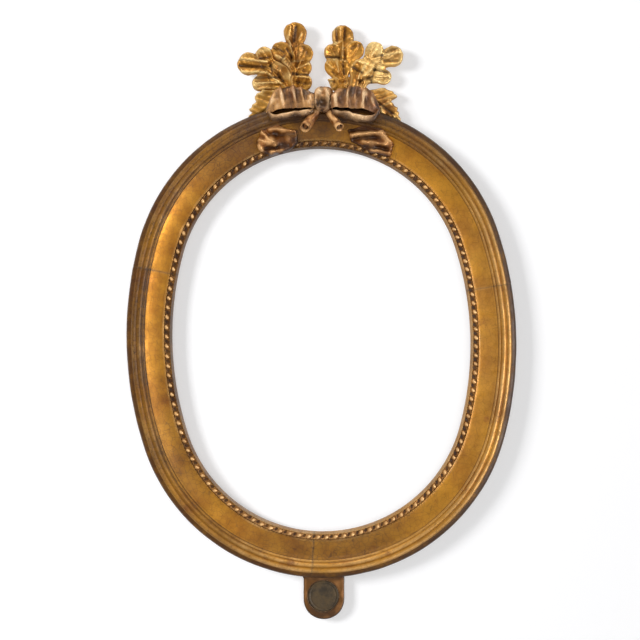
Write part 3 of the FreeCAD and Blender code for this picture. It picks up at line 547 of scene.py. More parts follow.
def gilded_face(name, seed):
    """The gilded shell over one segment, from the back edge round to the sight edge."""
    rows = along_segment(name, 0.95)
    run = rows[:, 4]
    length = run[-1]
    # The joint under the bow is closed
    opened = {"upper_right": (1.0, 0.0), "upper_left": (0.0, 1.0)}.get(name, (1.0, 1.0))
    start_gap, end_gap = (0.02 + 0.07 * share for share in opened)
    rows[0, 3] += start_gap / rows[0, 2]
    rows[-1, 3] -= end_gap / rows[-1, 2]

    def ends(width, shares):
        return shares[0] * bump(run, width) + shares[1] * bump(run - length, width)

    near_end = ends(1.2, opened)[:, None]
    calm = 1 - ends(9, [1 - share for share in opened])[:, None]
    turn = rows[:, 3:4]
    lit = unit(0.5 + 0.83 * np.cos(turn - LIT_ANGLE))
    s = run[:, None] + 1000 * seed
    t = FACE[:, 0][None, :]
    crown = FACE_RUB_AND_HIGHLIGHT[None, :]

    # The shape: long waves, flats worn on the crowns, a rope beside the pearls, ends drawn in
    waves = calm * (0.16 * noise(s, t, 0, 22, seed) + 0.08 * noise(s, t, 3, 5, seed + 5))
    flats = unit(noise(s, t * 0.4, 9, 16, seed + 9) - 0.35) * 0.9 * crown
    depth = FACE[:, 1] + np.where(t > 0, waves + 0.06 - flats, 0)
    inset = t + np.where(t < 3, -0.12 * noise(s, depth, 4, 14, seed + 2) - 0.05, 0)
    strands = 0.5 + 0.5 * np.sin(2 * np.pi * s / ROPE_PITCH + 0.9 * noise(s, 0, 0, 9, seed))
    depth = depth + 0.55 * bump(t - ROPE_INSET, 0.55) * strands - 0.2 * bump(t - ROPE_INSET, 0.5)
    depth = depth - 0.16 * near_end * (t > 1)
    face = on_ring(rows, inset, depth)
    inner = on_ring(rows, INNER_SECTION[:, 0][None, :], INNER_SECTION[:, 1])
    grid = np.concatenate([face, inner], axis=1)
    x, z, deep = (grid[:, :, k] for k in range(3))
    slot = (np.abs(x - KNOT_X) < SLOT_HALF_WIDTH) & (z > 0)
    grid[:, :, 2] = np.where(slot, np.maximum(deep, SLOT_DEPTH + 0.05 * deep), deep)

    # The paint: painted shade on the reeds away from the light and on the frieze in places, painted
    # shadow by the bow, dirt at the joints, and painted highlight on the lit reeds and the right side
    edges = unit((FRIEZE_START - t) / 0.6) + (t > BED_END)
    # Painted shadow on the ring by the bow
    bow_shadow = bump(face[:, :, 0] - 1, 62) * (face[:, :, 1] > 0)
    # Painted shade on the reeds away from the light, with a random tone
    shade_and_tone = 0.28 + 0.47 * (1 - lit) + 0.2 * noise(s, t * 0.5, 6, 26, seed)
    # Less dirt and painted shade in the reeds' grooves on the lit side
    clean_and_lit = 1 - FACE_DIRT_AND_SHADE[None, :] * (1 - 0.65 * lit * ((t > REEDS_START) & (t < REEDS_END)))
    # Painted shade on the frieze at places round the oval
    shade = sum(how_shaded * bump(turn - angle, wide) for angle, wide, how_shaded in SHADED_PLACES)
    unshaded_and_untoned = (1 - edges * shade_and_tone) * (1 - (1 - edges) * shade)
    unshaded_and_untoned = unshaded_and_untoned * (1 - (0.62 + 0.26 * (t < FRIEZE_START)) * bow_shadow)
    # Painted highlight on the reeds on the lit side, with random wear
    wear_and_highlight = np.where(edges > 0, 0.15 + 0.75 * lit, 0.5) + 0.45 * noise(s, t, 2, 30, seed)
    # Painted highlight on the frieze's right side
    right_side_highlight = 0.15 * (1 - edges) * bump(np.sin(turn / 2), 0.25)
    hollow, rub = np.zeros((2, *grid.shape[:2]))
    hollow[:, : len(FACE)] = 1 - clean_and_lit * unshaded_and_untoned + ends(0.9, opened)[:, None] * 0.3
    rub[:, : len(FACE)] = unit(crown * wear_and_highlight + right_side_highlight + 1.2 * flats + 0.3 * near_end)
    piece = Piece()
    piece.add_tube(grid, hollow, rub)
    piece.make("gilding_" + name, [RING_GILT], "gilt_wood")


# The pearls, carved from one strip for each segment, with a drilled hole in each gap

BED_MIDDLE, BED_DEPTH, HOLE_FLOOR, STRIP_BACK = 35.95, 13.95, 13.45, 13.1
PEARL_FOOT, PEARL_HEIGHT, PEARL_LENGTH, PEARL_WIDTH = 13.6, 3.3, 2.5, 2.5
HOLE_RADIUS, SLANT = 1.55, 0.3


def pearl_strip(name, seed):
    """One segment's strip of pearls, uneven as carved ones are."""
    rows = along_segment(name, 0.42)
    turn = rows[:, 3:4]
    steps = np.abs(np.diff(rows[:, 3])) * (rows[:-1, 2] - BED_MIDDLE)
    run = np.concatenate([[0], np.cumsum(steps)])
    count = round(run[-1] / PEARL_PITCH[name])
    pitch = run[-1] / count
    rng = np.random.default_rng(seed)
    centres = (np.arange(count) + 0.5) * pitch + rng.uniform(-0.25, 0.25, count)
    long_radius = PEARL_LENGTH + rng.uniform(-0.3, 0.25, count)
    tall = PEARL_HEIGHT + rng.uniform(-0.35, 0.25, count)
    aside = rng.uniform(-0.2, 0.2, count)
    insets = np.concatenate([[33.75], np.linspace(33.85, 38.1, 13), [38.2]])
    s, t = run[:, None], (insets - BED_MIDDLE)[None, :]
    height = BED_DEPTH + 0.15 * noise(s, t, 0, 2.5, seed)
    hollow, rub = np.zeros((2, *height.shape))
    for k in range(count):
        along = (s - centres[k] - SLANT * t) / long_radius[k]
        rho = along**2 + ((t + 0.2 - aside[k]) / PEARL_WIDTH) ** 2
        dome = PEARL_FOOT + tall[k] * np.sqrt(unit(1 - rho))
        height = np.where(rho < 1, np.maximum(height, dome), height)
        # Pale on the pearls' tops, as rubbing and painted highlight
        rub = np.maximum(rub, unit(1 - 1.5 * rho))

    # Below, the holes show less; they lie between the pearls and past the first and the last
    below = unit(-1.3 * np.sin(turn) - 0.3)
    gaps = [centres[0] - pitch / 2, *(centres[1:] + centres[:-1]) / 2, centres[-1] + pitch / 2]
    for gap in gaps:
        hole = np.hypot(s - gap - SLANT * t, 0.8 * (t - 0.45)) + 0.4 * below
        height = np.where(hole < HOLE_RADIUS, np.minimum(height, HOLE_FLOOR), height)
        # Painted shade in and round each hole
        hollow = np.maximum(hollow, unit(1.25 * bump(hole, 1.75)))
    # Painted shade on the low places, less of it below, and below, painted highlight on the pearls
    hollow = np.maximum(hollow, 0.75 * (1 - 0.7 * below) * unit(14.6 - height))
    rub = np.maximum(rub, below * unit(0.5 - hollow))
    height += 0.12 * noise(s, t, 1, 1.6, seed + 3) * (height > 14.2)
    height = np.maximum(height, 13.42)
    face = on_ring(rows, insets[None, :], height)
    back = on_ring(rows, insets[::-1][None, :], STRIP_BACK)

    # Painted shadow under the bow, and less painted shade on the right
    bow_shadow = bump(face[:, :, 0] - 1, 50) * (face[:, :, 1] > 0)
    hollow = np.maximum(hollow * (1 - 0.4 * unit(np.cos(turn))), 0.5 * bow_shadow)
    rub = rub * (1 - 0.7 * bow_shadow)
    bare = np.zeros_like(height)
    piece = Piece()
    grid = np.concatenate([face, back], axis=1)
    piece.add_tube(grid, np.concatenate([hollow, bare], 1), np.concatenate([rub, bare], 1))
    stands_for = ["pearls_" + name]
    piece.make("beading_" + name, [PEARL_GILT], "gilt_pearls", stands_for=stands_for, sharp=60)


for index, segment in enumerate(SEGMENTS):
    gilded_face(segment, index + 1)
    pearl_strip(segment, index + 11)


# The crest's leaves

LOW_NEAR, MID_NEAR, HIGH_NEAR = 7.0, 7.4, 8.6
LEAF_CELL, LEAF_THICKNESS, LEAF_EDGE = 0.5, 6.4, 1.8
LOW_LEAF_CELL, LOW_LEAF_THICKNESS, LOW_LEAF_EDGE = 0.55, 5.6, 1.5
EDGE_ROUND, RIB_RADIUS = 2.2, 4.6
VEIN_PITCH, LOW_VEIN_PITCH = 4.1, 6.4


def crest(u, v):
    """A place on the crest, from thousandths of its half width and height."""
    u, v = u / 1000, v / 1000
    return KNOT_X + u * CREST_HALF_WIDTH, KNOT_Z + v * CREST_HEIGHT + CREST_LIFT * max(v, 0)


def leaf(piece, lobes, ribs, near, seed, folds, worn):
    """A leaf of dished lobes on a rib, added to a piece. Each lobe has its place and radius, its
    root, the radius of its neck and its tilts; a fold runs between two places, with a width and lift.
    worn is how dull it is, below 0, or how pale at its tips."""
    lobes = [
        (*crest(u, v), r / 1000 * CREST_HALF_WIDTH, *crest(root_u, root_v), *rest)
        for u, v, r, root_u, root_v, *rest in lobes
    ]
    ribs = [crest(u, v) for u, v in ribs]
    folds = [(crest(a, b), crest(c, d), width, lift) for a, b, c, d, width, lift in folds]

    def distance(x, z):
        d = np.full(x.shape, FAR)
        for start, end in zip(ribs, ribs[1:]):
            d = np.minimum(d, strip(x, z, start, end, RIB_RADIUS, RIB_RADIUS))
        wobble = 1 + 0.05 * noise(x, z, 0, 5.5, seed) + 0.035 * noise(x, z, 1, 2.6, seed)
        for cx, cz, r, rx, rz, neck, tilt_x, tilt_z in lobes:
            dish = np.hypot(x - cx, z - cz) - r * wobble
            lobe = blend(dish, strip(x, z, (rx, rz), (cx, cz), neck, 0.8 * r), 2.5)
            d = blend(d, lobe, 2.2)
        return d

    def surface(x, z):
        """The leaf's relief, and how dark and how lit its folds are."""
        shape, dark, lit = np.zeros((3, *x.shape))
        first, second = np.full((2, *x.shape), FAR)
        for cx, cz, r, rx, rz, neck, tilt_x, tilt_z in lobes:
            away = np.hypot(x - cx, z - cz)
            share = unit(1.2 - away / r)
            shape += -2.0 * unit(1 - (away / r) ** 2)
            shape += unit(3 * share) * (tilt_x * (x - cx) + tilt_z * (z - cz)) / r
            second = np.where(away - r < first, first, np.minimum(second, away - r))
            first = np.minimum(first, away - r)
            run = math.dist((cx, cz), (rx, rz))
            tip = (cx + 0.55 * r * (cx - rx) / run, cz + 0.55 * r * (cz - rz) / run)
            vein = strip(x, z, (rx, rz), tip)
            shape += 0.75 * bump(vein, 0.9) - 0.75 * bump(vein - 2.0, 1.0)
            forth, across = along_and_across(x, z, (rx, rz), (cx, cz))
            bend = 0.8 * noise(x, z, 7, 4, seed)
            shape += share * 0.2 * np.sin(2 * np.pi * (forth - 0.8 * np.abs(across) + bend) / VEIN_PITCH)
        for start, end in zip(ribs, ribs[1:]):
            rib = strip(x, z, start, end)
            shape += 1.1 * bump(rib, 1.0) - 0.8 * bump(rib - 2.2, 1.1)
        for start, end, width, lift in folds:
            fold = strip(x, z, start, end)
            shape += lift * bump(fold, width)
            # Sunk folds get painted shade and raised folds painted highlight
            painted = bump(fold, 0.8 * width)
            dark = np.maximum(dark, -0.42 * lift * painted)
            lit = np.maximum(lit, 0.45 * lift * painted)
        # Painted shade in the creases between lobes
        crease = bump(second - first, 1.5) * unit(1 + first / 3)
        shape += 0.35 * noise(x, z, 2, 6, seed) + 0.2 * noise(x, z, 3, 2.2, seed) - 0.9 * crease
        return shape, unit(dark + 0.4 * crease), unit(lit)

    def height(x, z, inset):
        face = LEAF_THICKNESS - LEAF_EDGE + surface(x, z)[0]
        return near + LEAF_EDGE + face * (0.3 + 0.7 * rounded(inset, EDGE_ROUND))

    def base(x, z, inset):
        return near + 1.4 * (1 - rounded(inset, EDGE_ROUND))

    def hollow(x, z, inset):
        shape, dark, lit = surface(x, z)
        # Painted shade in sunk folds, creases and low places
        return unit(dark + 0.25 * unit(-shape - 1.4))

    def rub(x, z, inset):
        # Painted highlight on raised folds, a pale rim, paler outer tips where worn is above 0, and random
        # rubbing
        lit = surface(x, z)[2]
        outer = 1 if worn < 0 else unit(2.8 * np.abs(x - KNOT_X) / CREST_HALF_WIDTH - 1.0)
        return unit(worn * outer + 0.4 * bump(inset - 1.4, 1.2) + lit + 0.5 * noise(x, z, 5, 9, seed))

    carve(piece, distance, height, base, box_round(lobes + ribs, 13), LEAF_CELL, hollow, rub)


def low_leaf(piece, corners, near, seed, start, end, teeth=0.9):
    """A low leaf with a cut edge, ribbed from its spine."""
    corners = [crest(u, v) for u, v in corners]
    start, end = crest(*start), crest(*end)

    def ribs(x, z):
        forth, across = along_and_across(x, z, start, end)
        bend = 1.6 * noise(x, z, 6, 7, seed)
        return np.sin(2 * np.pi * (forth - 0.7 * np.abs(across) + bend) / LOW_VEIN_PITCH)

    def distance(x, z):
        d = outline(x, z, corners)
        d = d - teeth * 0.5 * ribs(x, z) * bump(d, 4) - 0.4 * noise(x, z, 0, 4, seed)
        return np.maximum(d, ring_inset(x, z) + 0.1)

    def height(x, z, inset):
        face = LOW_LEAF_THICKNESS + 0.42 * ribs(x, z) - 1.2 * bump(strip(x, z, start, end), 0.9)
        face = face + 0.9 * noise(x, z, 2, 7, seed) + 0.3 * noise(x, z, 4, 3, seed) - LOW_LEAF_EDGE
        return near + LOW_LEAF_EDGE + face * (0.3 + 0.7 * rounded(inset, EDGE_ROUND))

    def base(x, z, inset):
        return near + 0 * x

    def hollow(x, z, inset):
        # Painted shade along the sunk spine and between the ribs, with random tone
        spine = 0.7 * bump(strip(x, z, start, end), 1.0)
        return unit(spine + 0.2 * unit(-ribs(x, z)) - 0.4 * noise(x, z, 2, 7, seed))

    def rub(x, z, inset):
        # Paler on the ribs' crests and the rim, as painted highlight, with random rubbing
        return unit(0.3 * unit(ribs(x, z)) + 0.35 * bump(inset - 1, 1.2) + 0.5 * noise(x, z, 2, 7, seed))

    carve(piece, distance, height, base, box_round(corners, 4), LOW_LEAF_CELL, hollow, rub)


BOARD_HALF_WIDTH, BOARD_GAP, BOARD_DROP = 49, 0.15, 20
BOARD_HEIGHT, BOARD_END_HEIGHT = 3.5, -2.5
BOARD_BACK, BOARD_EDGE = 5.0, 13.2


def backing(piece, side):
    """The half of the board that a spray is carved from, standing on the ring."""
    low = HALF_HEIGHT - BOARD_DROP
    near, end = KNOT_X + side * BOARD_GAP, KNOT_X + side * BOARD_HALF_WIDTH
    corners = [(near, low), (near, KNOT_Z + BOARD_HEIGHT), (end, KNOT_Z + BOARD_END_HEIGHT), (end, low)]

    def distance(x, z):
        return np.maximum(outline(x, z, corners), ring_inset(x, z) + 0.2)

    def front(x, z, inset):
        return BOARD_EDGE + 0.8 * rounded(inset, 1.0) + 0.1 * noise(x, z, 0, 4, 3)

    def back(x, z, inset):
        return BOARD_BACK + 0 * x

    box = (min(near, end) - 2, max(near, end) + 2, low, KNOT_Z + 6)
    points, faces, hollow, rub = relief(distance, front, back, box, 0.8)
    piece.add(points, faces, hollow + 0.35, rub, 1)


# Lobes: place, radius and root in thousandths, neck's radius in millimetres, tilts
LEFT_TALL = [
    (-330, 845, 139, -330, 480, 5.4, -1.2, 0.8), (-222, 589, 112, -312, 380, 5, 1, 1.2),
    (-505, 625, 115, -330, 400, 5, 1.2, -1.4), (-230, 415, 100, -318, 240, 5, 1.6, -1),
    (-225, 225, 100, -330, 80, 5, 1, 1.6),
]
LEFT_WIDE = [
    (-890, 468, 137, -560, 400, 7.6, 0.6, 1), (-705, 575, 105, -540, 370, 5, 2.6, -1.2),
    (-755, 222, 94, -460, 210, 6.2, -0.6, -1.4), (-500, 330, 125, -400, 100, 7, 0.8, 1),
]
RIGHT_TALL = [
    (246, 816, 134, 240, 520, 5.6, -1.2, 1), (130, 606, 112, 240, 400, 6, -1.6, 0.8),
    (392, 640, 112, 250, 380, 6, -1, 1.4), (128, 430, 104, 235, 240, 6, 1.8, -0.6),
]
RIGHT_WIDE = [
    (850, 560, 126, 560, 430, 6.6, 2.6, -1.2), (628, 630, 110, 520, 400, 6, 2.4, -0.8),
    (738, 300, 92, 500, 300, 6.4, -0.6, 1.6), (455, 390, 130, 400, 100, 7.5, 1.4, -0.6),
]
# Folds: from, to, then width and lift in millimetres
LEFT_TALL_FOLDS = [
    (-319, 925, -340, 753, 1.7, -2.3), (-384, 925, -416, 769, 1.7, 1.5),
    (-253, 839, -294, 753, 1.5, 1.5), (-396, 737, -358, 572, 1.3, 1.7),
    (-428, 651, -372, 541, 1.4, -2.1), (-609, 679, -471, 619, 1.4, -1.5),
    (-558, 565, -464, 522, 1.9, 1.9), (-532, 455, -454, 565, 1.3, -1.9),
    (-340, 486, -236, 506, 1.2, 1.6), (-303, 406, -173, 459, 1.3, 1.8),
    (-239, 381, -173, 346, 1.2, -1.3), (-355, 340, -180, 318, 1.4, -2.4),
    (-303, 296, -122, 280, 1.3, 1.5), (-326, 235, -148, 202, 1.3, -1.2),
    (-239, 667, -159, 565, 2.2, -1),
]
LEFT_WIDE_FOLDS = [
    (-980, 522, -675, 486, 1.6, 1.9), (-998, 444, -686, 425, 1.4, -2.3),
    (-980, 365, -675, 353, 1.7, 1.5), (-753, 538, -631, 547, 1.3, -1.9),
    (-762, 619, -638, 638, 1.8, 1.2), (-835, 293, -522, 293, 1.4, -1.8),
    (-820, 208, -512, 235, 1.9, 1.7), (-638, 329, -428, 149, 1.2, 2.1),
    (-532, 340, -468, 243, 1.1, -1.6), (-624, 470, -609, 353, 1.4, -1.8),
]
RIGHT_TALL_FOLDS = [
    (166, 905, 180, 753, 1.3, -1.6), (273, 914, 265, 769, 1.3, -1.4), (220, 905, 218, 792, 1.3, 1.1),
    (151, 717, 331, 792, 1.4, 1.4), (249, 726, 241, 560, 1.3, 1.5), (32, 549, 205, 549, 1.3, -2.2),
    (134, 522, 292, 491, 1.3, 1.8), (57, 475, 125, 397, 1.3, 1.8), (169, 491, 198, 353, 1.3, 1.7),
    (244, 475, 259, 334, 1.3, -1.8), (119, 365, 174, 318, 1.2, -1.3), (343, 663, 477, 714, 1.5, -1),
]
RIGHT_WIDE_FOLDS = [
    (733, 569, 932, 607, 1.3, 1.3), (747, 506, 913, 491, 1.2, -1.4), (776, 616, 903, 651, 1.2, -1.1),
    (587, 569, 692, 685, 1.4, 1.5), (634, 549, 724, 569, 1.3, -1.6), (616, 387, 787, 353, 1.3, -2),
    (384, 585, 515, 569, 1.1, 2.2), (413, 494, 521, 459, 1.4, 1.5), (355, 431, 477, 350, 1.4, -1.8),
    (433, 544, 343, 381, 1.3, 1.4), (521, 459, 430, 271, 1.5, 1.6), (486, 302, 619, 415, 1.3, 1.6),
    (457, 240, 608, 306, 1.3, -1.7), (573, 274, 605, 208, 1.3, -1.4),
]
LEFT_WIDE_RIBS = [(-330, -20), (-480, 220), (-620, 380)]
LEFT_TALL_RIBS = [(-300, -50), (-320, 250), (-350, 600)]
RIGHT_TALL_RIBS = [(260, -50), (245, 250), (245, 600)]
RIGHT_WIDE_RIBS = [(340, -20), (480, 220), (620, 420)]
# Corners of the low leaves, and the small pointed one
LEFT_LOW = [
    (-480, 150), (-725, 140), (-835, 60), (-800, 0), (-885, -110), (-860, -150), (-950, -290),
    (-700, -330), (-500, -250),
]
RIGHT_POINT = [(60, 270), (130, 300), (330, 300), (345, 200), (200, 80), (110, 150)]
RIGHT_LOW = [
    (520, 140), (760, 160), (860, 110), (905, 50), (830, -10), (905, -90), (950, -270), (700, -330),
    (500, -250),
]

left_spray = Piece()
backing(left_spray, -1)
leaf(left_spray, LEFT_WIDE, LEFT_WIDE_RIBS, LOW_NEAR, 21, LEFT_WIDE_FOLDS, 0.0)
low_leaf(left_spray, LEFT_LOW, LOW_NEAR, 22, (-460, 80), (-800, -220))
leaf(left_spray, LEFT_TALL, LEFT_TALL_RIBS, HIGH_NEAR, 23, LEFT_TALL_FOLDS, -0.25)

right_spray = Piece()
backing(right_spray, 1)
leaf(right_spray, RIGHT_TALL, RIGHT_TALL_RIBS, LOW_NEAR, 31, RIGHT_TALL_FOLDS, -0.2)
low_leaf(right_spray, RIGHT_POINT, MID_NEAR, 32, (300, 240), (80, 240), teeth=0.4)
low_leaf(right_spray, RIGHT_LOW, LOW_NEAR, 33, (500, 100), (860, -180))
leaf(right_spray, RIGHT_WIDE, RIGHT_WIDE_RIBS, HIGH_NEAR, 34, RIGHT_WIDE_FOLDS, 0.55)

for hand, spray in (("left", left_spray), ("right", right_spray)):
    stands_for = ["oak_spray_" + hand]
    spray.make("spray_" + hand, [LEAF_GILT, PALE_WOOD], "bright_gilding", stands_for=stands_for, sharp=70)


# The bow

LOOP_HEIGHT, LOOP_ROOT = 27, 7.35
LOOP_BACK, LOOP_FRONT, LOOP_FRONT_FALL = 15.2, 36.4, 5.4
RIBBON_THICKNESS = 2.2
BAND_DEPTH, BAND_HALF_DEPTH, BAND_SWELL = 29.6, 4.4, 2.2


def clear_of_ring(x, z, depth):
    """A grid of points, none of them behind the moulding's face."""
    x = np.broadcast_to(x, depth.shape)
    return np.stack([x, z, over_ring(x, z, depth)], -1)


def ribbon_loop(side, length, ridges, band, patches, seed):
    """A pleated hood of ribbon, open below, and the band that returns under it. A ridge has its
    place, width and lift; band gives the band's heights; a patch of painted highlight on the band has
    its place, width and strength."""
    root = KNOT_X + side * LOOP_ROOT
    u = np.linspace(0, 1, 110)[:, None]
    v = np.linspace(0, np.pi, 44)[None, :]
    x = root + side * length * u
    top = smooth_curve([0, 0.25, 0.65, 0.87, 1], [0.16, 0.33, 0.36, 0.18, -0.34], u)
    low = smooth_curve([0, 0.35, 0.7, 1], [-0.36, -0.35, -0.39, -0.52], u)
    top, low = KNOT_Z + LOOP_HEIGHT * top, KNOT_Z + LOOP_HEIGHT * low
    shrink = np.sqrt(np.clip(1 - unit((u - 0.72) / 0.3) ** 2, 0.04, 1))
    front = LOOP_FRONT - LOOP_FRONT_FALL * u
    middle = (front + LOOP_BACK) / 2 + 1.5 * (1 - shrink)
    half = (front - LOOP_BACK) / 2 * (0.45 + 0.55 * shrink)
    sway = 0.035 * np.sin(1.3 * v + seed) * side + 0.03 * (v - 0.6)
    pleats = sum(lift * bump(u - at - sway, width) for at, width, lift in ridges)
    pleats = pleats * (0.4 + 0.6 * np.sin(v) ** 0.5)
    crumple = 1.1 * noise(x, 12 * v, 0, 4.5, seed) + 0.45 * noise(x, 12 * v, 3, 2.0, seed)
    pleats = 0.85 * pleats * (0.75 + 0.5 * bump(v - 0.55, 0.5)) + crumple - 0.6

    def sheet(thickness, shown):
        """One face of the hood. The pleats show on the outer one."""
        depth = middle + (half - thickness + shown * pleats) * power(np.cos(v), 0.75)
        hem = low + 0.5 * pleats * bump(v, 0.5)
        rise = top - low - thickness + shown * pleats
        lumps = shown * 0.4 * noise(x, 0, v, 7, seed + 1)
        return clear_of_ring(x, hem + rise * np.sin(v) ** 0.8 + lumps, depth)

    grid = np.concatenate([sheet(0, 1), sheet(RIBBON_THICKNESS, 0)[:, ::-1]], 1)
    # Painted shade between the pleats, painted highlight on their ridges low on the hood, and the inner face
    # painted fully dark as shade
    hollow = np.clip(0.52 - 0.75 * pleats, 0, 0.95) * (0.6 + 0.4 * np.sin(v))
    rub = unit(1.5 * pleats - 0.4) * bump(v - 0.4, 0.42)
    inner = np.ones(pleats.shape)
    piece = Piece()
    piece.add_tube(grid, np.concatenate([hollow, inner], 1), np.concatenate([rub, 0 * inner], 1))

    w = np.linspace(0, 1, 90)[:, None]
    turn = np.linspace(0, 2 * np.pi, 26, endpoint=False)[None, :]
    x = 0.02 + 0.97 * smooth_curve([0, 0.4, 0.75, 1], [0, 0.42, 0.82, 0.99], w)
    x = root + side * length * x
    z = KNOT_Z + LOOP_HEIGHT * smooth_curve([0, 0.3, 0.6, 0.85, 1], band, w) + 0.5 * np.sin(11 * w + seed)
    across, up = power(np.cos(turn), 0.5), power(np.sin(turn), 0.8)
    swell = BAND_SWELL + (0.5 + 0.5 * (side > 0)) * np.sin(2.9 * w + 0.2)
    swell = swell + 0.6 * noise(x, 0, 0, 5, seed + 2)
    z = z + swell * up + across**2 - 0.6 + 0.8 * noise(x, 3 * across, 3 * up, 3.5, seed + 3)
    depth = BAND_DEPTH + 1.2 * np.sin(3 * w) + BAND_HALF_DEPTH * across
    depth = depth + 0.9 * noise(x, 3 * across, 3 * up, 3.0, seed + 4)
    # Patches of painted highlight on the band's front, brighter on top; painted shade underneath and away
    # from the patches
    worn = sum(strength * bump(w - at, width) for at, width, strength in patches)
    shine = unit(across) * unit(worn) * (0.6 + 0.4 * up)
    shade_and_soil = np.clip(0.25 - 0.6 * up + 0.6 * unit(1 - worn), 0, 0.9)
    piece.add_tube(clear_of_ring(x, z, depth), shade_and_soil, shine)
    hand = "left" if side < 0 else "right"
    piece.make("loop_" + hand, [BOW_GILT], "rubbed_gilding", stands_for=["bow_loop_" + hand], sharp=70)


LEFT_LENGTH, RIGHT_LENGTH = 43.0, 44.0
LEFT_RIDGES = [
    (0.08, 0.05, 1.3), (0.225, 0.035, 2.3), (0.39, 0.042, 2.5), (0.52, 0.03, 0.9),
    (0.65, 0.036, 2.4), (0.86, 0.09, 0.9),
]
RIGHT_RIDGES = [
    (0.13, 0.06, 2.2), (0.37, 0.042, 2.7), (0.53, 0.03, 0.9), (0.70, 0.045, 2.7), (0.90, 0.06, 1.1),
]
LEFT_BAND = [-0.42, -0.54, -0.61, -0.63, -0.50]
RIGHT_BAND = [-0.44, -0.58, -0.68, -0.66, -0.45]
LEFT_PATCHES = [(0.17, 0.14, 1.1), (0.55, 0.17, 1.0), (0.85, 0.12, 0.6)]
RIGHT_PATCHES = [(0.10, 0.07, 0.9), (0.52, 0.24, 1.3)]
ribbon_loop(-1, LEFT_LENGTH, LEFT_RIDGES, LEFT_BAND, LEFT_PATCHES, 41)
ribbon_loop(1, RIGHT_LENGTH, RIGHT_RIDGES, RIGHT_BAND, RIGHT_PATCHES, 42)

KNOT_MIDDLE, KNOT_LOWEST, KNOT_HIGHEST = 27.0, 15.0, 39.8
KNOT_HALF_WIDTH, KNOT_HALF_DEPTH, KNOT_HALF_HEIGHT = 10.2, 10.4, 11.2
KNOT_ASIDE, KNOT_DOWN = 0.8, 1.3
# Soft hills: how high, the place, how much x and z count in the distance from it, and a size
KNOBS = [(1, -2.4, 222.6, 1, 1, 2.9), (0.9, 5.8, 220.8, 1, 1, 2.8), (-0.5, 2.2, 220.0, 1, 0.6, 1.5)]
PINCH = [(1, 0.8, 212.6, 0.7, 1, 4.4)]
SIDE_FOLDS = [(1, 8.8, 213.5, 1, 0.5, 2.0), (0.7, -6.9, 215.0, 1, 0.5, 1.6)]


def hills(x, z, table):
    """The sum of some soft hills."""
    return sum(
        high * bump(np.hypot(flat * (x - cx), tall * (z - cz)), size)
        for high, cx, cz, flat, tall, size in table
    )


def knot():
    """The crumpled knot, drawn in at its waist, with two knobs at its top and a deep pinch."""
    turn = np.linspace(0, 2 * np.pi, 96, endpoint=False)[None, :]
    tilt = np.linspace(-np.pi / 2, np.pi / 2, 60)[1:-1, None]
    c, s, ct, st = np.cos(turn), np.sin(turn), np.cos(tilt), np.sin(tilt)
    folds = 0.05 * np.cos(5 * turn + 0.5) + 0.05 * np.cos(9 * turn + 2.2) * np.cos(2 * tilt)
    folds = folds + 0.08 * noise(3 * c, 3 * s, 2.4 * st, 1.1, 51)
    folds = folds + 0.04 * noise(3 * c, 3 * s, 3 * st, 0.5, 52)
    grow = (0.84 + 0.16 * np.abs(st) ** 1.4) * (1 + folds * ct)
    x = KNOT_X + KNOT_ASIDE + KNOT_HALF_WIDTH * power(c, 0.85) * power(ct, 0.6) * grow
    z = KNOT_Z - KNOT_DOWN + KNOT_HALF_HEIGHT * power(st, 0.9) * (1 + 0.3 * folds)
    depth = KNOT_MIDDLE + KNOT_HALF_DEPTH * power(s, 0.85) * power(ct, 0.55) * grow
    front = unit(1.4 * s)
    knobs, pinch, side_folds = (hills(x, z, table) for table in (KNOBS, PINCH, SIDE_FOLDS))
    depth = depth + front * (3.4 * knobs - 5.5 * pinch + 1.4 * side_folds)
    grid = clear_of_ring(x, z, np.clip(depth, KNOT_LOWEST, KNOT_HIGHEST))
    # Painted shade in the pinch, low on the knot and in the folds' hollows, less on the knobs; painted
    # highlight on the knobs and folds
    hollow = (1.2 * pinch + 0.4 * bump(z - 206, 4) - 0.5 * knobs) * front + np.clip(-6 * folds, 0, 0.6)
    rub = (1.9 * knobs + 0.6 * side_folds + 0.12) * front + 3.5 * folds
    piece = Piece()
    piece.add_tube(grid, unit(hollow), unit(rub))
    piece.make("knot", [BOW_GILT], "rubbed_gilding", stands_for=["bow_knot"], sharp=75)


knot()

STEM_ASIDE, STEM_DOWN, STEM_START_DEPTH, STEM_END_DEPTH = 4.2, 10.5, 27.0, 32.5
STEM_ROWS, PALE_RIM_ROWS, CUT_ROWS, HOLLOW_ROWS = 34, 30, 37, 40
# Beyond the stem's length: how far, and the share of its radius
STEM_END = [
    (0.5, 0.97), (0.7, 0.84), (0.2, 0.72), (-1.6, 0.66), (-2.2, 0.5), (-1.4, 0.4), (-0.6, 0.3), (-0.5, 0.08),
]


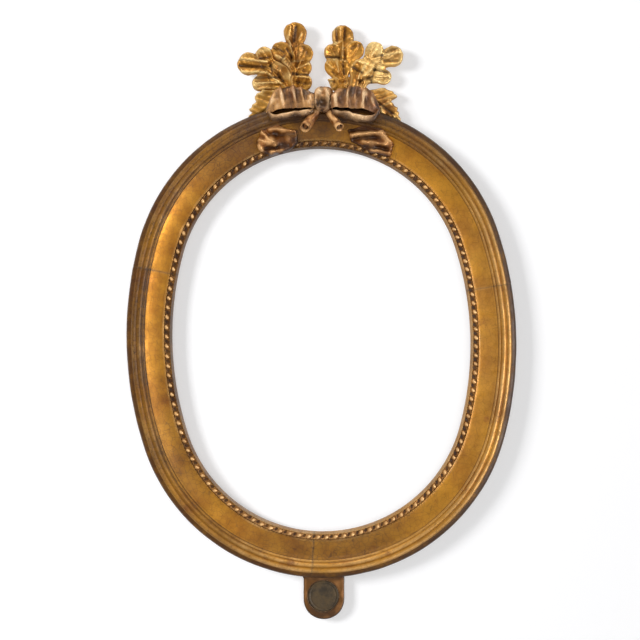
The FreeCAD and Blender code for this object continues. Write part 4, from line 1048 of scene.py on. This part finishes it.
def stem(side, angle, length, width, seed):
    """A cut stem, pared with a knife and hollow at its end."""
    turn = math.radians(angle)
    start = np.array([KNOT_X + side * STEM_ASIDE, KNOT_Z - STEM_DOWN, STEM_START_DEPTH])
    run = np.array([length * math.cos(turn), length * math.sin(turn), STEM_END_DEPTH - STEM_START_DEPTH])
    long = np.linalg.norm(run)
    direction = run / long
    aside = np.cross(direction, [0, 0, 1.0])
    aside /= np.linalg.norm(aside)
    other = np.cross(direction, aside)
    stations = [(t * long, width * (0.72 + 0.28 * t)) for t in np.linspace(0, 1, STEM_ROWS)]
    stations += [(long + t, share * width) for t, share in STEM_END]
    around = np.linspace(0, 2 * np.pi, 36, endpoint=False)
    c, s = np.cos(around), np.sin(around)
    rings, hollow, rub = [], [], []
    for k, (t, radius) in enumerate(stations):
        pared = 1 - 0.09 * np.abs(np.sin(2.5 * around + seed)) + 0.11 * noise(2 * c, 2 * s, t / 4, 1, seed)
        slant = 0.45 * radius * s * unit((t - 0.6 * long) / (0.4 * long))
        spokes = (radius * pared)[:, None] * (c[:, None] * aside + s[:, None] * other)
        points = start + t * direction + spokes + slant[:, None] * direction
        points[:, 2] = over_ring(*points.T)
        rings.append(points)
        patch = noise(2 * c, 2 * s, t / 3, 1.3, seed + 1)
        outside = k < CUT_ROWS
        # Painted shade by the knot and inside the hollow end; rubbing and painted highlight on the rim by the
        # cut
        dark = 0.15 + 0.6 * bump(t, 5) if outside else 0.95 if k < HOLLOW_ROWS else 0.55
        shine = 0.6 if PALE_RIM_ROWS <= k < CUT_ROWS else 0.25 if k <= CUT_ROWS else 0
        hollow.append(unit(dark - 0.5 * patch * outside))
        rub.append(unit(shine + 0.7 * patch))
    piece = Piece()
    piece.add_tube(rings, hollow, rub)
    hand = "left" if side < 0 else "right"
    piece.make("stem_" + hand, [TAIL_GILT], "bright_gilding", stands_for=["branch_stem_" + hand], sharp=60)


stem(-1, 235.0, 20.0, 5.0, 61)
stem(1, 304.0, 19.5, 4.2, 62)

TAIL_FACE, TAIL_BACK, TAIL_LEAST, TAIL_CELL = 20.6, 16.5, 0.6, 0.42


def tail(name, corners, folds, shades, seed):
    """A crumpled tail of ribbon, draped over the frieze. A fold runs between two places, with a
    width and a lift; a shade has its place and a size in millimetres."""
    corners = [crest(u, v) for u, v in corners]
    folds = [(crest(a, b), crest(c, d), width, lift) for a, b, c, d, width, lift in folds]
    shades = [(*crest(u, v), size) for u, v, size in shades]

    def distance(x, z):
        return outline(x, z, corners) - 0.8 + 0.9 * noise(x, z, 0, 4.5, seed) + 0.35 * noise(x, z, 5, 2, seed)

    def creases(x, z, kind):
        """The lift of the folds: those that rise for 1, those that sink for -1, all for 0."""
        bent_x, bent_z = (value + 1.0 * noise(x, z, k, 6, seed) for k, value in ((6, x), (7, z)))
        lift = np.zeros(x.shape)
        for start, end, width, rise in folds:
            if kind * rise >= 0:
                lift = lift + rise * bump(strip(bent_x, bent_z, start, end), width)
        return lift

    def base(x, z, inset):
        ground = over_ring(x, z, 0 * x, 0.1)
        return np.where(ground < 5, TAIL_BACK, ground)

    def height(x, z, inset):
        face = creases(x, z, 0) + 1.3 * noise(x, z, 1, 5, seed) + 0.6 * noise(x, z, 2, 2.2, seed)
        ground = base(x, z, inset)
        above = np.maximum(TAIL_FACE + face - ground, TAIL_LEAST)
        return ground + above * (0.15 + 0.85 * rounded(inset, 2.6))

    def hollow(x, z, inset):
        # Painted shade at the shades, in sunk folds and at the rim, less on raised folds
        dark = sum(bump(np.hypot(x - cx, z - cz), size) for cx, cz, size in shades)
        value = 0.36 + 0.55 * dark - 0.35 * creases(x, z, 1) - 0.4 * creases(x, z, -1)
        return np.clip(value - 0.45 * noise(x, z, 1, 5, seed) + 0.5 * bump(inset, 1.3), 0, 0.95)

    def rub(x, z, inset):
        # Painted highlight on raised folds, with random rubbing
        return unit(0.4 * creases(x, z, 1) - 0.2 + 0.6 * noise(x, z, 1, 5, seed))

    piece = Piece()
    piece.add(*relief(distance, height, base, box_round(corners, 4), TAIL_CELL, hollow, rub))
    piece.make("tail_" + name, [TAIL_GILT], "rubbed_gilding", stands_for=["ribbon_tail_" + name], sharp=75)


LEFT_TAIL = [
    (-320, -400), (-560, -350), (-727, -403), (-780, -532), (-760, -662), (-607, -715), (-427, -670),
    (-300, -567),
]
LEFT_TAIL_FOLDS = [
    (-730, -413, -551, -592, 1.8, 3.6), (-755, -529, -609, -576, 2.1, 3.4),
    (-769, -612, -730, -667, 2.2, 3), (-631, -455, -355, -463, 2, -1.6),
    (-631, -390, -340, -405, 1.8, 2.2), (-675, -636, -529, -612, 1.5, -1.8),
    (-600, -690, -480, -655, 2, 2.4),
]
LEFT_SHADES = [(-640, -690, 5.5), (-480, -620, 7.5), (-330, -520, 5), (-690, -500, 3)]
RIGHT_TAIL = [(317, -400), (500, -345), (720, -403), (850, -593), (810, -735), (593, -683), (353, -532)]
RIGHT_TAIL_FOLDS = [
    (345, -466, 710, -429, 1.8, 3.6), (345, -400, 678, -388, 2.4, -1.4),
    (489, -542, 760, -590, 2.2, 2.2), (372, -518, 692, -495, 1.5, -2), (743, -479, 823, -526, 2.4, 3),
    (605, -652, 790, -705, 2.2, 2.2), (518, -612, 779, -652, 1.3, -1.8),
]
RIGHT_SHADES = [(489, -380, 8), (561, -560, 8), (740, -640, 7), (400, -520, 5)]
tail("left", LEFT_TAIL, LEFT_TAIL_FOLDS, LEFT_SHADES, 71)
tail("right", RIGHT_TAIL, RIGHT_TAIL_FOLDS, RIGHT_SHADES, 72)


# The tab and its disc

TAB_X, TAB_TOP, TAB_LOW, TAB_RADIUS = 1.7, -HALF_HEIGHT + 4, -HALF_HEIGHT - 39.0, 18.2
TAB_FACE, TAB_SHOULDER, TAB_BACK, TAB_CELL, TAB_ASIDE = 10.25, 9.0, 0.5, 0.5, 0.6
DISC_Z, DISC_RADIUS, SEAT_GAP, SEAT_DEPTH = -HALF_HEIGHT - 18.1, 14.1, 0.15, 2.2
# The flare where the tab's left side meets the ring
FLARE = [(-20.2, -210.0), (-15.0, -210.0), (-15.0, -217.6), (-16.6, -214.0)]


def tab_face():
    """The tab's worn gilded face and sides, with a bevelled edge and the seat of its disc."""
    top, low = (TAB_X + TAB_ASIDE, TAB_TOP), (TAB_X + TAB_ASIDE, TAB_LOW + TAB_RADIUS)

    def distance(x, z):
        d = strip(x, z, top, low, TAB_RADIUS, TAB_RADIUS)
        d = np.minimum(d, outline(x, z, FLARE) - 0.3)
        d = np.maximum(d, ring_inset(x, z) + 0.25)
        return d - 0.3 + 0.16 * noise(x, z, 0, 6, 81)

    def height(x, z, inset):
        face = TAB_FACE + 0.12 * noise(x, z, 1, 9, 82) + 0.06 * noise(x, z, 2, 2.5, 83)
        seat = unit((DISC_RADIUS + SEAT_GAP - np.hypot(x - TAB_X, z - DISC_Z)) / 0.3)
        return TAB_SHOULDER + (face - SEAT_DEPTH * seat - TAB_SHOULDER) * rounded(inset, 1.6)

    def base(x, z, inset):
        return TAB_BACK + 0.3 * (1 - rounded(inset, 1))

    def hollow(x, z, inset):
        # Painted shade at the rim and round the disc's seat; darker towards the bottom and where the tab
        # meets the ring
        edge = np.abs(np.hypot(x - TAB_X, z - DISC_Z) - DISC_RADIUS)
        darker_low = 0.45 * unit((DISC_Z - 6 - z) / 10)
        edges = 0.9 * bump(edge, 0.9) + 0.9 * bump(inset, 1.0)
        return unit(edges + darker_low + 0.4 * bump(ring_inset(x, z) + 1, 2.5))

    def rub(x, z, inset):
        return unit(0.8 * bump(inset - 1.3, 1.1) + 0.1 + 0.9 * noise(x, z, 4, 5, 84))

    box = (TAB_X - 24, TAB_X + 20, TAB_LOW - 2, TAB_TOP + 4)
    piece = Piece()
    piece.add(*relief(distance, height, base, box, TAB_CELL, hollow, rub))
    piece.make("tab_face", [TAB_GILT], "gilt_wood", sharp=60)


# The disc's section, as (radius, depth) from its middle over its rim and down its side
DISC_SECTION = [
    (0.0, 9.62), (3.0, 9.64), (6.5, 9.66), (9.0, 9.7), (11.0, 9.72), (11.3, 9.62), (11.6, 9.62),
    (11.9, 9.85), (12.5, 10.05), (13.2, 10.05), (13.7, 9.9), (14.0, 9.5), (14.05, 8.2), (13.9, 7.85),
    (0.0, 7.85),
]
DISC_STEP, DISC_SIDE_DEPTH, DISC_FLAT_RADIUS = 0.6, 8, 11


def turned_disc():
    """The plain dark disc, with a turned rim and a lightly pitted face."""
    around = np.linspace(0, 2 * np.pi, 96, endpoint=False)
    fine = []
    for (r0, d0), (r1, d1) in zip(DISC_SECTION, DISC_SECTION[1:]):
        steps = max(1, round(abs(r1 - r0) / DISC_STEP)) if d0 > DISC_SIDE_DEPTH else 1
        fine += [(r0 + (r1 - r0) * k / steps, d0 + (d1 - d0) * k / steps) for k in range(steps)]
    rings = []
    for r, d in fine:
        r = max(r, 0.05)
        x, z = TAB_X + r * np.cos(around), DISC_Z + r * np.sin(around)
        flat = d > DISC_SIDE_DEPTH and r < DISC_FLAT_RADIUS
        lump = flat * (0.07 * noise(x, z, 0, 3.2, 91) + 0.04 * noise(x, z, 1, 1.3, 92))
        rings.append(np.stack([x, z, d + lump], 1))
    hollow = np.repeat([0.8 if 11 < r < 12 else 0.1 for r, d in fine], len(around))
    piece = Piece()
    piece.add_tube(rings, hollow, 0.3)
    piece.make("disc", [DISC], "dark_disc", stands_for=["tab_disc"], sharp=40)


tab_face()
turned_disc()

# The carried-over nodes get their finish, by how their names start
FINISHES = {
    "ring_": WOOD, "tab": WOOD, "joint_": PALE_WOOD, "crest_tenons": PALE_WOOD, "cut_nails": IRON,
    "hanger_strap": IRON, "hanging_ring": IRON, "turn_button": BRASS, "button_screws": BRASS,
}
for node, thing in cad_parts.items():
    if thing.hide_render:
        continue
    for start, finish in FINISHES.items():
        if node.startswith(start):
            thing.data.materials.clear()
            thing.data.materials.append(finish)
            break


# The wall, the lights and the camera, in metres

WALL_REACH, WALL_BEHIND = 6.0, 0.0015


def wall():
    """A plain pale wall, seen from the front only, that takes the frame's soft shadow."""
    mesh = bpy.data.meshes.new("wall")
    signs = [(-1, -1), (1, -1), (1, 1), (-1, 1)]
    mesh.from_pydata([(x * WALL_REACH, WALL_BEHIND, z * WALL_REACH) for x, z in signs], [], [[0, 1, 2, 3]])
    thing = put("wall", mesh)
    material = bpy.data.materials.new("wall")
    material.use_nodes = True
    nodes, links = material.node_tree.nodes, material.node_tree.links
    nodes.clear()
    kinds = ["OutputMaterial", "AddShader", "BsdfDiffuse", "Emission", "BsdfTransparent", "MixShader"]
    out, both, white, glow, clear, turn = (nodes.new("ShaderNode" + kind) for kind in kinds)
    back = nodes.new("ShaderNodeNewGeometry")
    white.inputs["Color"].default_value = (0.62, 0.62, 0.63, 1)
    glow.inputs["Strength"].default_value = 0.42
    links.new(white.outputs[0], both.inputs[0])
    links.new(glow.outputs[0], both.inputs[1])
    links.new(back.outputs["Backfacing"], turn.inputs[0])
    links.new(both.outputs[0], turn.inputs[1])
    links.new(clear.outputs[0], turn.inputs[2])
    links.new(turn.outputs[0], out.inputs[0])
    mesh.materials.append(material)
    thing.visible_diffuse = False
    thing.visible_shadow = False


def lamp(name, position, size, power, colour=(1, 1, 1), glossy=True, diffuse=True):
    """A rectangular light, turned to the frame's middle."""
    data = bpy.data.lights.new(name, "AREA")
    data.shape, data.size, data.size_y = "RECTANGLE", size[0], size[1]
    data.energy, data.color = power, colour
    thing = put(name, data)
    thing.location = position
    thing.rotation_euler = (Vector(MIDDLE) - Vector(position)).to_track_quat("-Z", "Y").to_euler()
    thing.visible_glossy, thing.visible_diffuse, thing.visible_camera = glossy, diffuse, False


wall()
MIDDLE = (0.0, 0.0, -0.19)
lamp("key", (-1.75, -1.75, 0.35), (0.75, 0.75), 52.0, glossy=False)
lamp("softbox_right", (1.4, -1.15, -0.45), (1.3, 0.9), 34.0, (1.0, 0.96, 0.9), diffuse=False)
lamp("softbox_top", (-0.25, -0.6, 1.25), (1.1, 0.5), 11.0, (1.0, 0.98, 0.94), diffuse=False)
lamp("fill_front", (0.3, -2.2, -0.3), (1.6, 1.6), 16.0, glossy=False)
lamp("fill_back", (0.8, 2.0, 0.6), (1.6, 1.6), 42.0)

WORLD_LIGHT, WORLD_SEEN = 0.22, 0.55


def surroundings():
    """A plain world, paler where the camera and the metal see it than as a light."""
    world = bpy.data.worlds.new("world")
    world.use_nodes = True
    nodes, links = world.node_tree.nodes, world.node_tree.links
    path = nodes.new("ShaderNodeLightPath")
    seen = path.outputs["Is Camera Ray"]
    for ray in ("Is Glossy Ray", "Is Transmission Ray"):
        node = nodes.new("ShaderNodeMath")
        node.operation = "MAXIMUM"
        links.new(seen, node.inputs[0])
        links.new(path.outputs[ray], node.inputs[1])
        seen = node.outputs[0]
    strength = nodes.new("ShaderNodeMapRange")
    strength.inputs["To Min"].default_value = WORLD_LIGHT
    strength.inputs["To Max"].default_value = WORLD_SEEN
    links.new(seen, strength.inputs["Value"])
    links.new(strength.outputs["Result"], nodes["Background"].inputs["Strength"])
    nodes["Background"].inputs["Color"].default_value = (1, 1, 1, 1)
    bpy.context.scene.world = world


surroundings()

camera_data = bpy.data.cameras.new("camera")
camera_data.lens, camera_data.sensor_width = 85, 36
camera = put("camera", camera_data)
camera.location = (-0.0023, -1.38, -0.1826)
camera.rotation_euler = (math.pi / 2, 0, 0)
bpy.context.scene.camera = camera
bpy.context.scene.view_settings.view_transform = "Standard"
